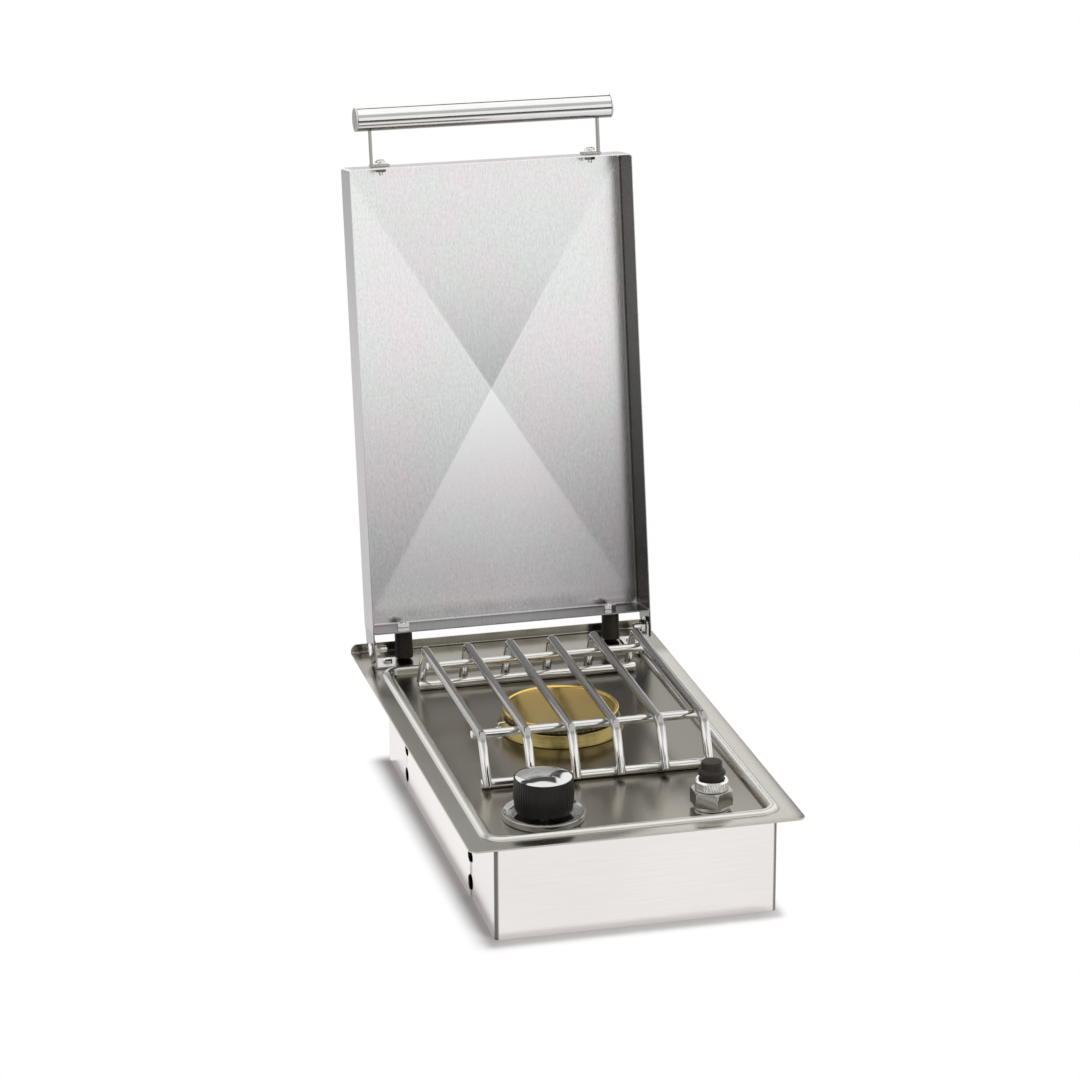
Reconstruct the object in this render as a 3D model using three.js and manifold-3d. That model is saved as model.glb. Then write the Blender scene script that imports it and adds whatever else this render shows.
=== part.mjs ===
// Built in side burner for an outdoor kitchen counter, millimetres, +Z up, front towards -Y.
// The origin is at the middle of the casing's underside. Inside the counter group the front edge
// of the flange is y = 0 and the top of the flange is z = 0.
import * as THREE from 'three';
import { mergeVertices } from 'three/addons/utils/BufferGeometryUtils.js';
import Module from 'manifold-3d';

const wasm = await Module();
wasm.setup();

// Clearances that all pieces share
const seatGap = 0.3;
const runningGap = 0.05;
const overrun = 4;
const weldDistance = 0.0001;

// How finely round forms are divided
const roundSides = 32;
const smallSides = 12;
const rodSides = 10;
const wireSides = 6;
const cornerSteps = 4;
const bendSteps = 4;
const slotSteps = 2;

// Flange, raised bead and recessed floor, pressed from one sheet
const panWidth = 292;
const panDepth = 494;
const panSheet = 1.5;
const panCornerRadius = 8;
const panRearCornerRadius = 2;
const flangeStrip = 16;
const rearStrip = 50;
const beadWidth = 10;
const beadHeight = 3;
const beadCornerRadius = 19;
const beadSteps = 5;
const panWallRun = 1.5;
const floorDrop = 3;
const lipHeight = 8.6;
const lipCornerRadius = 7;

// Casing under the flange
const casingSideInset = 23.2;
const casingFrontInset = 9.75;
const casingRearInset = 59.4;
const casingDrop = 85.7;
const casingSheet = 1.2;
const casingBend = 3;
const seamGap = 0.8;
const frontSeamRun = 92;
const rearSeamRun = 79.6;
const seamSlotLength = 14;
const lowSlotHeight = 14;
const lowSlotRise = 14;
const highSlotHeight = 10;
const highSlotRise = 37.7;
const panelTabWidth = 14;
const ventSlotLength = 70;
const ventSlotWidth = 7;
const ventPitch = 28;
const ventSideInset = 56.8;
const ventEndInset = 120.425;
const ventCount = 3;

// Burner
const burnerSetBack = 2.3;
const baseFootRadius = 57;
const baseTopRadius = 53;
const baseTopRise = 11;
const baseCupRadius = 46;
const baseCupDepth = 8;
const burnerNeckWall = 3;
const burnerNeckDrop = 24;
const portRingRadius = 50;
const portRingInnerRadius = 42;
const portRingHeight = 4.6;
const portDepth = 1.8;
const portCount = 28;
const capRadius = 52.3;
const capThickness = 4;
const capRimWidth = 1.6;
const capRimRise = 1.4;
const capDish = 0.6;
const capEdgeRound = 1;
const capSkirtWall = 3.5;
const capSkirtDepth = 4;

// Grid of six bent rods on four cross rods
const rodDiameter = 8;
const rodCount = 6;
const gridSideGap = 15.175;
const gridFrontGap = 29.2;
const gridRearGap = 34;
const gridRise = 43.5;
const rodBendRadius = 10;
const legSplay = 20.5;
const legEndRise = 4;
const frontCrossInset = 27;
const rearCrossInset = 23;
const gridTravel = 60;

// Knob, bezel and gas valve
const knobSideGap = 16.3;
const knobFrontGap = 3;
const bezelRadius = 35.9;
const bezelFootRadius = 35.2;
const bezelHeight = 6.5;
const bezelRimWidth = 1.7;
const bezelEdge = 1;
const bezelDishRadius = 27;
const bezelDishRise = 3.4;
const bezelEyeRise = 3;
const bezelHoleGap = 1.5;
const knobTopRadius = 25.4;
const knobMidRadius = 26.2;
const knobFootRadius = 24.6;
const knobFootRise = 7.5;
const knobHeight = 29.5;
const knobMidRise = 13;
const knobEdgeRound = 0.4;
const fluteDepth = 0.5;
const fluteCount = 30;
const knobPush = 3;
const knobRecess = 2.4;
const knobRim = 0.6;
const insertRise = 0.8;
const insertRimWidth = 1.3;
const insertDish = 1.4;
const spindleRadius = 4;
const spindleFlat = 1.2;
const spindleFlatLength = 14;
const spindleRise = 27;
const spindleDepth = 22;
const valveNeckRadius = 13;
const valveNeckLength = 20;
const valveWidth = 26;
const valveHeight = 31;
const valveFront = 15;
const valveRear = 17;
const jetDrop = 42;
const jetHexRadius = 6;
const jetHexLength = 6;
const jetRadius = 3.6;
const jetTipRadius = 2;
const jetLength = 15;
const jetBoreRadius = 0.8;
const inletHexRadius = 11;
const inletHexHeight = 9;
const inletRadius = 8;
const inletBoreRadius = 4;

// Venturi tube from the burner's neck to the jet
const venturiRadius = 11;
const venturiWall = 1.3;
const venturiElbow = 13;
const venturiBend = 30;
const venturiRearRun = 55;
const venturiFrontRun = 45;
const venturiMouthGap = 6;
const shutterWall = 1.2;
const shutterLength = 22;
const shutterWindowWidth = 9;
const shutterWindowLength = 9;
const shutterOverlap = 8;

// Igniter
const igniterSideGap = 22.7;
const igniterFrontGap = 5.7;
const barrelRadius = 7.5;
const barrelRise = 17;
const barrelDrop = 40;
const barrelFlangeRadius = 13;
const barrelFlangeHeight = 3;
const washerRadius = 15;
const washerHeight = 3.5;
const nutCornerRadius = 18.8;
const nutHeight = 13.2;
const nutTopRadius = 17.3;
const nutChamfer = 1.6;
const collarRadius = 14.3;
const collarHeight = 9;
const collarRimRadius = 13.2;
const collarRimHeight = 1;
const collarBoreRadius = 10.9;
const collarBoreDepth = 6;
const collarFluteDepth = 0.6;
const collarFluteCount = 24;
const bootStemRadius = 10.6;
const bootNeckRise = 28.6;
const bootBulgeRise = 31.5;
const bootBulgeRadius = 12.2;
const bootShoulderRise = 33.4;
const bootShoulderRadius = 11.6;
const bootStepRise = 35.8;
const bootTopRise = 42;
const bootTopRadius = 8.9;
const bootCrownEdge = 0.8;
const bootPush = 2.5;

// Electrode and its lead
const electrodeAngle = THREE.MathUtils.degToRad(192);
const ceramicRadius = 2.8;
const ceramicGap = 1.6;
const ceramicRise = 9.5;
const ceramicDrop = 22;
const ceramicShoulderRadius = 4.2;
const ceramicShoulderHeight = 3;
const tipRadius = 0.9;
const tipRise = 3.4;
const tipReach = 6.5;
const tipBend = 1.6;
const clipThickness = 1.2;
const clipLength = 30;
const clipWidth = 14;
const leadRadius = 1.5;
const leadSteps = 30;
const leadBarrelTail = 9;
const leadCeramicTail = 14;

// Lid
const lidLean = THREE.MathUtils.degToRad(9.48);
const pinInset = 40.3;
const pinRise = 16.1;
const lidSideInset = 12.23;
const lidFrontInset = 5.9;
const lidHeelGap = 15.64;
const lidBackOffset = 31.74;
const lidSkirt = 42.87;
const lidSheet = 1.2;
const lidBend = 3;
const lidCornerRadius = 3;
const lidCrown = 4;
const earTop = 30;
const earKneeDrop = 12.6;
const earKneeInset = 7.7;
const earToeDrop = 30.08;
const earToeInset = 26.7;
const earFrontDrop = 23.6;

// Hinge
const pinRadius = 3.25;
const pinHeadRadius = 6.5;
const pinHeadHeight = 2.6;
const pinHeadEdge = 0.9;
const pinTail = 2.5;
const hingeNutRadius = 6;
const hingeNutHeight = 4;
const bracketSheet = 1.5;
const bracketSideGap = 0.5;
const bracketTopRadius = 9;
const bracketLength = 24;
const bracketBack = 14;
const bracketFootWidth = 23;
const screwInset = 14;
const screwRadius = 2;
const screwHeadRadius = 4.5;
const screwHeadHeight = 2.6;
const screwLength = 9;
const screwPlaceBack = 2;

// Bumpers on the lid's heel
const bumperSideInset = 33.27;
const bumperOffset = 13;
const bumperRadius = 8.25;
const bumperEdge = 0.8;
const studRadius = 2.5;
const studDepth = 8;
const bumperNutRadius = 6.2;
const bumperNutHeight = 3.6;
const studTail = 1.5;

// Handle
const handleRadius = 11;
const handleWall = 1.4;
const handleSideInset = 12.02;
const handleRise = 43.9;
const handleOffset = 13.6;
const plugFace = 1.4;
const plugDepth = 9;
const strapInset = 13.75;
const strapThickness = 1.8;
const strapWidth = 14;
const strapNeckWidth = 7;
const strapFoot = 16;
const strapBury = 5;
const boltInset = 8.5;
const boltRadius = 2;
const boltHeadRadius = 5;
const boltHeadHeight = 3.4;
const boltHeadEdge = 1.2;
const boltCrownRadius = 2.4;
const boltTail = 3;
const boltNutRadius = 5;
const boltNutHeight = 3.6;

// Levels and places that follow from the sizes above
const floorZ = -floorDrop;
const floorUnderZ = floorZ - panSheet;
const flangeUnderZ = -panSheet;
const floorHalf = panWidth / 2 - flangeStrip - beadWidth - panWallRun;
const floorFrontY = flangeStrip + beadWidth + panWallRun;
const floorRearY = panDepth - rearStrip - beadWidth - panWallRun;
const casingBottomZ = -casingDrop;
const casingHalf = panWidth / 2 - casingSideInset;
const casingRearY = panDepth - casingRearInset;
const frontSeamY = casingFrontInset + frontSeamRun;
const rearSeamY = casingRearY - rearSeamRun;
const knobX = knobSideGap + bezelRadius - floorHalf;
const knobY = floorFrontY + knobFrontGap + bezelRadius;
const igniterX = floorHalf - igniterSideGap - nutCornerRadius;
const igniterY = floorFrontY + igniterFrontGap + nutCornerRadius;
const gridFrontY = knobY + bezelRadius + gridFrontGap;
const gridRearY = floorRearY - gridRearGap;
const gridY = (gridFrontY + gridRearY) / 2;
const gridHalfSpan = (gridRearY - gridFrontY) / 2 - legSplay;
const crossHalf = floorHalf - gridSideGap;
const rodPitch = (2 * crossHalf - rodDiameter) / (rodCount - 1);
const burnerY = gridY + burnerSetBack;
const pinY = panDepth - pinInset;
const lidHalf = panWidth / 2 - lidSideInset;
const lidTopRun = pinY - lidFrontInset;
const lidLength = lidTopRun - lidHeelGap;
const bumperX = lidHalf - bumperSideInset;
const handleHalf = lidHalf - handleSideInset;
const strapX = handleHalf - strapInset;
const knobFootZ = floorZ + knobFootRise;
const knobTopZ = knobFootZ + knobHeight;

// Finishes
function finish(color, roughness, metalness) {
  return new THREE.MeshStandardMaterial({ color, roughness, metalness });
}
const polishedSteel = () => finish(0xb9b6b1, 0.22, 1);
const brushedSteel = () => finish(0xcfcdca, 0.36, 1);
const brightSteel = () => finish(0xe2e0dc, 0.14, 1);
const chromePlate = () => finish(0xdfe0e2, 0.06, 1);
const brass = () => finish(0xb79d5c, 0.26, 1);
const castIron = () => finish(0x3a3734, 0.7, 0.4);
const blackPlastic = () => finish(0x1f1c1a, 0.5, 0);
const blackRubber = () => finish(0x24221f, 0.8, 0);
const greyPlastic = () => finish(0xc2c1bd, 0.5, 0);
const whiteCeramic = () => finish(0xe9e4da, 0.35, 0);
const castAluminium = () => finish(0xa6a5a2, 0.5, 0.9);

// A closed mesh with shared corners, no empty triangles and its faces pointing out
function weld(geometry) {
  geometry.deleteAttribute('normal');
  geometry.deleteAttribute('uv');
  const merged = mergeVertices(geometry, weldDistance);
  const source = merged.index.array;
  const kept = [];
  const [a, b, c] = [new THREE.Vector3(), new THREE.Vector3(), new THREE.Vector3()];
  let volume = 0;
  for (let i = 0; i < source.length; i += 3) {
    const [p, q, r] = [source[i], source[i + 1], source[i + 2]];
    if (p === q || q === r || r === p) continue;
    kept.push(p, q, r);
    a.fromBufferAttribute(merged.attributes.position, p);
    b.fromBufferAttribute(merged.attributes.position, q);
    c.fromBufferAttribute(merged.attributes.position, r);
    volume += a.dot(b.cross(c));
  }
  if (volume < 0) kept.reverse();
  merged.setIndex(kept);
  return merged;
}

function solid(geometry) {
  const merged = weld(geometry);
  const vertProperties = new Float32Array(merged.attributes.position.array);
  const triVerts = new Uint32Array(merged.index.array);
  return new wasm.Manifold(new wasm.Mesh({ numProp: 3, vertProperties, triVerts }));
}

function toGeometry(shape) {
  const mesh = shape.getMesh();
  const geometry = new THREE.BufferGeometry();
  geometry.setAttribute('position', new THREE.BufferAttribute(mesh.vertProperties, 3));
  geometry.setIndex(new THREE.BufferAttribute(mesh.triVerts, 1));
  geometry.computeVertexNormals();
  return geometry;
}

function addPiece(parent, name, shape, material) {
  const piece = new THREE.Mesh(toGeometry(shape), material);
  piece.name = name;
  parent.add(piece);
  return piece;
}

function block(x0, x1, y0, y1, z0, z1) {
  const box = new THREE.BoxGeometry(x1 - x0, y1 - y0, z1 - z0);
  return solid(box.translate((x0 + x1) / 2, (y0 + y1) / 2, (z0 + z1) / 2));
}

// Upright round bar between two levels
function uprightBar(radius, z0, z1, x, y, sides = roundSides) {
  const bar = new THREE.CylinderGeometry(radius, radius, z1 - z0, sides);
  return solid(bar.rotateX(Math.PI / 2).translate(x, y, (z0 + z1) / 2));
}

// Radius of a faceted hole whose flats clear the round piece that turns in it
function turningBore(radius, sides) {
  return (radius + runningGap) / Math.cos(Math.PI / sides);
}

// Round bar that lies along X
function crossBar(radius, x0, x1, y, z, sides = roundSides) {
  const bar = new THREE.CylinderGeometry(radius, radius, x1 - x0, sides);
  return solid(bar.rotateZ(Math.PI / 2).translate((x0 + x1) / 2, y, z));
}

// Round bar that lies along Y
function depthBar(radius, y0, y1, x, z, sides = roundSides) {
  const bar = new THREE.CylinderGeometry(radius, radius, y1 - y0, sides);
  return solid(bar.translate(x, (y0 + y1) / 2, z));
}

// Turned form about an upright axis through the origin, from a list of radius and height
function turned(profile, sides = roundSides) {
  const points = profile.map(([radius, height]) => new THREE.Vector2(radius, height));
  const closed = profile[0][0] === 0 && profile[profile.length - 1][0] === 0;
  if (!closed) points.push(points[0].clone());
  return new THREE.LatheGeometry(points, sides).rotateX(Math.PI / 2);
}

// Closed skin from a start point through loops of equal count to an end point
function loft(start, loops, end) {
  const count = loops[0].length;
  const corners = [start, ...loops.flat(), end];
  const faces = [];
  for (let i = 0; i < count; i += 1) {
    const next = (i + 1) % count;
    faces.push(0, 1 + i, 1 + next);
    for (let ring = 0; ring < loops.length - 1; ring += 1) {
      const a = 1 + ring * count;
      const b = a + count;
      faces.push(a + i, b + i, b + next, a + i, b + next, a + next);
    }
    const last = 1 + (loops.length - 1) * count;
    faces.push(corners.length - 1, last + next, last + i);
  }
  const geometry = new THREE.BufferGeometry();
  const position = new Float32Array(corners.flatMap((corner) => corner.toArray()));
  geometry.setAttribute('position', new THREE.BufferAttribute(position, 3));
  geometry.setIndex(faces);
  return geometry;
}

// Corner points of a rounded rectangle, with one radius near the front and one at the rear
function roundedOutline(x0, x1, y0, y1, frontRadius, rearRadius) {
  const places = [
    [x1 - rearRadius, y1 - rearRadius, rearRadius, 0],
    [x0 + rearRadius, y1 - rearRadius, rearRadius, 1],
    [x0 + frontRadius, y0 + frontRadius, frontRadius, 2],
    [x1 - frontRadius, y0 + frontRadius, frontRadius, 3],
  ];
  const outline = [];
  for (const [x, y, radius, quarter] of places) {
    for (let step = 0; step <= cornerSteps; step += 1) {
      const angle = (quarter + step / cornerSteps) * Math.PI / 2;
      outline.push([x + radius * Math.cos(angle), y + radius * Math.sin(angle)]);
    }
  }
  return outline;
}

// Centre line whose rings lie where its points lie
class RodLine extends THREE.Curve {
  constructor(points) {
    super();
    this.points = points;
  }

  getPoint(t, target = new THREE.Vector3()) {
    const place = t * (this.points.length - 1);
    const index = Math.min(Math.floor(place), this.points.length - 2);
    return target.lerpVectors(this.points[index], this.points[index + 1], place - index);
  }

  getUtoTmapping(u) {
    return u;
  }
}

function roundShape(radius) {
  const shape = new THREE.Shape();
  shape.absarc(0, 0, radius, 0, 2 * Math.PI);
  return shape;
}

function bentBar(points, radius, sides) {
  const extrudePath = new RodLine(points);
  const steps = points.length - 1;
  const options = { steps, extrudePath, curveSegments: sides / 2, bevelEnabled: false };
  return new THREE.ExtrudeGeometry(roundShape(radius), options);
}

// Points of a line that turns one corner on a radius, in the plane of its two legs
function bendPoints(start, corner, end, radius) {
  const inward = start.clone().sub(corner).normalize();
  const outward = end.clone().sub(corner).normalize();
  const halfAngle = inward.angleTo(outward) / 2;
  const setBack = radius / Math.tan(halfAngle);
  const centre = inward.clone().add(outward).normalize()
    .multiplyScalar(radius / Math.sin(halfAngle)).add(corner);
  const first = inward.clone().multiplyScalar(setBack).add(corner).sub(centre);
  const last = outward.clone().multiplyScalar(setBack).add(corner).sub(centre);
  const axis = first.clone().cross(last).normalize();
  const sweep = first.angleTo(last);
  const points = [];
  for (let step = 0; step <= bendSteps; step += 1) {
    points.push(first.clone().applyAxisAngle(axis, sweep * step / bendSteps).add(centre));
  }
  return points;
}

// Hexagonal prism with an upright axis and two of its flats along X
function hexPrism(radius, z0, z1, x, y) {
  const prism = new THREE.CylinderGeometry(radius, radius, z1 - z0, 6);
  return solid(prism.rotateX(Math.PI / 2).translate(x, y, (z0 + z1) / 2));
}

// Fluted outline: ridges and grooves in turn round a circle
function flutedLoop(radius, depth, count, z) {
  const loop = [];
  for (let i = 0; i < 2 * count; i += 1) {
    const reach = i % 2 === 0 ? radius : radius - depth;
    const angle = i * Math.PI / count;
    loop.push(new THREE.Vector3(reach * Math.cos(angle), reach * Math.sin(angle), z));
  }
  return loop;
}

const sideBurner = new THREE.Group();
sideBurner.name = 'built_in_side_burner';
const counter = new THREE.Group();
counter.position.set(0, -(casingFrontInset + casingRearY) / 2, casingDrop);
sideBurner.add(counter);

// Pressed top: a flat strip, a half round bead, a short wall and the recessed floor
const beadRadius = (beadWidth * beadWidth / 4 + beadHeight * beadHeight) / (2 * beadHeight);
const beadHalfAngle = Math.asin(beadWidth / 2 / beadRadius);

function panProfile() {
  const points = [[0, 0]];
  for (let step = 0; step <= beadSteps; step += 1) {
    const angle = beadHalfAngle * (2 * step / beadSteps - 1);
    const inset = flangeStrip + beadWidth / 2 + beadRadius * Math.sin(angle);
    points.push([inset, beadHeight - beadRadius + beadRadius * Math.cos(angle)]);
  }
  points.push([flangeStrip + beadWidth + panWallRun, floorZ]);
  return points;
}

// The same profile moved through the sheet, square to its surface
function underProfile(points, thickness) {
  return points.map(([inset, z], i) => {
    if (i === 0 || i === points.length - 1) {
      const turn = i === 0 ? 0 : Math.atan2(panWallRun, floorDrop) + Math.PI / 2;
      const shift = i === 0 ? 0 : thickness * Math.tan(turn / 2 - Math.PI / 2);
      return [inset + shift, z - thickness];
    }
    const before = new THREE.Vector2(inset - points[i - 1][0], z - points[i - 1][1]).normalize();
    const after = new THREE.Vector2(points[i + 1][0] - inset, points[i + 1][1] - z).normalize();
    const along = before.clone().add(after).normalize();
    const reach = thickness / Math.max(before.dot(along), 0.5);
    return [inset + along.y * reach, z - along.x * reach];
  });
}

function panLoop([inset, z]) {
  const atEdge = inset === 0;
  const half = panWidth / 2 - inset;
  const rear = panDepth - inset - (atEdge ? 0 : rearStrip - flangeStrip);
  const inner = beadCornerRadius + flangeStrip - inset;
  const front = atEdge ? panCornerRadius : inner;
  const back = atEdge ? panRearCornerRadius : inner;
  const outline = roundedOutline(-half, half, inset, rear, front, back);
  return outline.map(([x, y]) => new THREE.Vector3(x, y, z));
}

const panTop = panProfile();
const panUnder = underProfile(panTop, panSheet);
const floorMiddleY = (panDepth - rearStrip + flangeStrip) / 2;
let topPan = solid(loft(
  new THREE.Vector3(0, floorMiddleY, floorZ),
  [...panTop.map(panLoop).reverse(), ...panUnder.map(panLoop)],
  new THREE.Vector3(0, floorMiddleY, floorUnderZ),
));

const lipShape = new THREE.Shape();
lipShape.moveTo(-panWidth / 2, flangeUnderZ);
lipShape.lineTo(panWidth / 2, flangeUnderZ);
lipShape.absarc(panWidth / 2 - lipCornerRadius, lipHeight - lipCornerRadius, lipCornerRadius, 0, Math.PI / 2);
lipShape.absarc(lipCornerRadius - panWidth / 2, lipHeight - lipCornerRadius, lipCornerRadius,
  Math.PI / 2, Math.PI);
const lipOptions = { depth: panSheet, bevelEnabled: false, curveSegments: slotSteps };
const lip = new THREE.ExtrudeGeometry(lipShape, lipOptions).rotateX(Math.PI / 2);
topPan = topPan.add(solid(lip.translate(0, panDepth, 0)));

function drillFloor(radius, x, y) {
  topPan = topPan.subtract(uprightBar(radius, floorUnderZ - overrun, overrun, x, y));
}

// Burner: cast base, slotted port ring and dished cap
const baseSeatZ = floorZ + seatGap;
const baseTopZ = floorZ + baseTopRise;
const baseCupZ = baseTopZ - baseCupDepth;
const neckBottomZ = floorZ - burnerNeckDrop;
const neckRadius = venturiRadius + burnerNeckWall;
const neckBore = venturiRadius - venturiWall;
const burnerBase = solid(turned([
  [neckBore, neckBottomZ],
  [neckRadius, neckBottomZ],
  [neckRadius, baseSeatZ],
  [baseFootRadius, baseSeatZ],
  [baseTopRadius, baseTopZ],
  [baseCupRadius, baseTopZ],
  [baseCupRadius, baseCupZ],
  [neckBore, baseCupZ],
]).translate(0, burnerY, 0));
addPiece(counter, 'burner_base', burnerBase, brass());
drillFloor(neckRadius + seatGap, 0, burnerY);

const ringBottomZ = baseTopZ + seatGap;
const ringTopZ = ringBottomZ + portRingHeight;
const ringShape = new THREE.Shape(
  flutedLoop(portRingRadius, portDepth, portCount, 0).map((corner) => new THREE.Vector2(corner.x, corner.y)),
);
ringShape.holes.push(roundShape(portRingInnerRadius));
const ringOptions = { depth: portRingHeight, bevelEnabled: false, curveSegments: roundSides / 2 };
const portRing = new THREE.ExtrudeGeometry(ringShape, ringOptions).translate(0, burnerY, ringBottomZ);
addPiece(counter, 'burner_port_ring', solid(portRing), castIron());

const capBottomZ = ringTopZ + seatGap;
const capTopZ = capBottomZ + capThickness;
const skirtRadius = portRingInnerRadius - seatGap;
const burnerCap = turned([
  [0, capBottomZ],
  [skirtRadius - capSkirtWall, capBottomZ],
  [skirtRadius - capSkirtWall, capBottomZ - capSkirtDepth],
  [skirtRadius, capBottomZ - capSkirtDepth],
  [skirtRadius, capBottomZ],
  [capRadius - capEdgeRound, capBottomZ],
  [capRadius, capBottomZ + capEdgeRound],
  [capRadius, capTopZ - capEdgeRound],
  [capRadius - capRimWidth / 2, capTopZ],
  [capRadius - capRimWidth, capTopZ],
  [capRadius - capRimWidth - capEdgeRound, capTopZ - capRimRise],
  [0, capTopZ - capRimRise - capDish],
]);
addPiece(counter, 'burner_cap', solid(burnerCap.translate(0, burnerY, 0)), brass());

// Gas valve under the knob, with its jet and inlet fitting
const valveTopZ = floorUnderZ - seatGap;
const valveBlockTopZ = valveTopZ - valveNeckLength;
const valveBottomZ = valveBlockTopZ - valveHeight;
const spindleBottomZ = floorZ - spindleDepth;
const jetZ = valveTopZ - jetDrop;
const valveRearY = knobY + valveRear;
let valveBody = uprightBar(valveNeckRadius, valveBlockTopZ - casingSheet, valveTopZ, knobX, knobY);
valveBody = valveBody.add(block(knobX - valveWidth / 2, knobX + valveWidth / 2, knobY - valveFront,
  valveRearY, valveBottomZ, valveBlockTopZ));
const spindleBore = turningBore(spindleRadius, roundSides);
valveBody = valveBody.subtract(uprightBar(spindleBore, spindleBottomZ - seatGap, overrun, knobX, knobY));
addPiece(counter, 'gas_valve_body', valveBody, castAluminium());

const jetStartY = valveRearY + seatGap;
const jetTipY = jetStartY + jetHexLength + jetLength;
const jetHex = new THREE.CylinderGeometry(jetHexRadius, jetHexRadius, jetHexLength, 6);
let gasJet = solid(jetHex.translate(knobX, jetStartY + jetHexLength / 2, jetZ));
const jetCone = new THREE.CylinderGeometry(jetTipRadius, jetRadius, jetLength + casingSheet, smallSides);
gasJet = gasJet.add(solid(jetCone.translate(knobX, jetTipY - (jetLength + casingSheet) / 2, jetZ)));
gasJet = gasJet.subtract(depthBar(jetBoreRadius, jetStartY + jetHexLength, jetTipY + overrun, knobX, jetZ,
  wireSides));
addPiece(counter, 'gas_jet', gasJet, brass());

const inletTopZ = valveBottomZ - seatGap;
const inletEndZ = casingBottomZ + seatGap;
let inlet = hexPrism(inletHexRadius, inletTopZ - inletHexHeight, inletTopZ, knobX, knobY);
inlet = inlet.add(uprightBar(inletRadius, inletEndZ, inletTopZ - inletHexHeight / 2, knobX, knobY));
inlet = inlet.subtract(uprightBar(inletBoreRadius, inletEndZ - overrun, inletTopZ - inletHexHeight / 2,
  knobX, knobY, smallSides));
addPiece(counter, 'gas_inlet_fitting', inlet, brass());

// Venturi: an elbow under the burner, then a straight run to the jet
const elbowTopZ = neckBottomZ - seatGap;
const mouthY = jetTipY - venturiMouthGap;
const venturiCorners = [
  new THREE.Vector3(0, burnerY, elbowTopZ),
  new THREE.Vector3(0, burnerY, jetZ),
  new THREE.Vector3(0, burnerY - venturiRearRun, jetZ),
  new THREE.Vector3(knobX, mouthY + venturiFrontRun, jetZ),
  new THREE.Vector3(knobX, mouthY, jetZ),
];
const venturiTurns = [venturiElbow, venturiBend, venturiBend];
const venturiPoints = venturiTurns.flatMap(
  (radius, i) => bendPoints(venturiCorners[i], venturiCorners[i + 1], venturiCorners[i + 2], radius),
);
const tubeShape = roundShape(venturiRadius);
tubeShape.holes.push(roundShape(venturiRadius - venturiWall));
const venturiLine = [venturiCorners[0], ...venturiPoints, venturiCorners[4]];
const venturi = new THREE.ExtrudeGeometry(tubeShape, {
  steps: venturiLine.length - 1, extrudePath: new RodLine(venturiLine), curveSegments: smallSides / 2,
  bevelEnabled: false,
});
addPiece(counter, 'burner_venturi', solid(venturi), castAluminium());

const shutterBore = venturiRadius + seatGap;
const shutterRearY = mouthY + shutterOverlap;
const shutterFrontY = shutterRearY - shutterLength;
let shutter = depthBar(shutterBore + shutterWall, shutterFrontY, shutterRearY, knobX, jetZ, smallSides);
shutter = shutter.subtract(depthBar(shutterBore, shutterFrontY - overrun, shutterRearY + overrun, knobX, jetZ,
  smallSides));
const windowY = shutterFrontY + shutterWindowLength;
shutter = shutter.subtract(block(knobX - shutterBore - overrun, knobX + shutterBore + overrun,
  windowY - shutterWindowLength / 2, windowY + shutterWindowLength / 2,
  jetZ - shutterWindowWidth / 2, jetZ + shutterWindowWidth / 2));
addPiece(counter, 'air_shutter', shutter, brushedSteel());

// Bezel: a turned dish round the spindle
const bezelEye = spindleRadius + bezelHoleGap;
const bezel = turned([
  [bezelEye, seatGap],
  [bezelFootRadius, seatGap],
  [bezelRadius, bezelHeight - bezelEdge],
  [bezelRadius - bezelRimWidth / 3, bezelHeight],
  [bezelRadius - bezelRimWidth, bezelHeight - seatGap],
  [(bezelRadius + bezelDishRadius) / 2, (bezelHeight + bezelDishRise) / 2 - bezelEdge / 2],
  [bezelDishRadius, bezelDishRise],
  [bezelEye, bezelEyeRise],
]);
addPiece(counter, 'knob_bezel', solid(bezel.translate(knobX, knobY, floorZ)), chromePlate());
drillFloor(bezelEye, knobX, knobY);

// Spindle with a flat, and the knob that slides on it
const spindleTopZ = floorZ + spindleRise;
let spindle = uprightBar(spindleRadius, spindleBottomZ, spindleTopZ, knobX, knobY, smallSides);
const flatX = knobX + spindleRadius - spindleFlat;
const flatBottomZ = spindleTopZ - spindleFlatLength;
spindle = spindle.subtract(block(flatX, flatX + spindleRadius, knobY - spindleRadius - overrun,
  knobY + spindleRadius + overrun, flatBottomZ, spindleTopZ + overrun));
addPiece(counter, 'valve_spindle', spindle, brushedSteel());

const knobLoops = [
  [knobFootRadius - knobEdgeRound, 0],
  [knobFootRadius, knobEdgeRound],
  [knobMidRadius, knobMidRise],
  [knobTopRadius, knobHeight - knobEdgeRound],
].map(([radius, height]) => flutedLoop(radius, fluteDepth, fluteCount, height));
const knobCrown = knobTopRadius - knobEdgeRound;
knobLoops.push(flutedLoop(knobCrown, 0, fluteCount, knobHeight));
const knobGeometry = loft(new THREE.Vector3(0, 0, 0), knobLoops, new THREE.Vector3(0, 0, knobHeight));
let knob = solid(knobGeometry.translate(knobX, knobY, knobFootZ));
const recessRadius = knobCrown - knobRim;
const recessZ = knobTopZ - knobRecess;
knob = knob.subtract(uprightBar(recessRadius, recessZ, knobTopZ + overrun, knobX, knobY));
const boreTopZ = spindleTopZ + knobPush + seatGap;
let knobBore = uprightBar(turningBore(spindleRadius, smallSides), knobFootZ - overrun, boreTopZ, knobX, knobY,
  smallSides);
knobBore = knobBore.subtract(block(flatX + runningGap, flatX + spindleRadius, knobY - spindleRadius - overrun,
  knobY + spindleRadius + overrun, flatBottomZ + knobPush + seatGap, boreTopZ + overrun));
knob = knob.subtract(knobBore);
addPiece(counter, 'knob_body', knob, blackPlastic());

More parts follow.
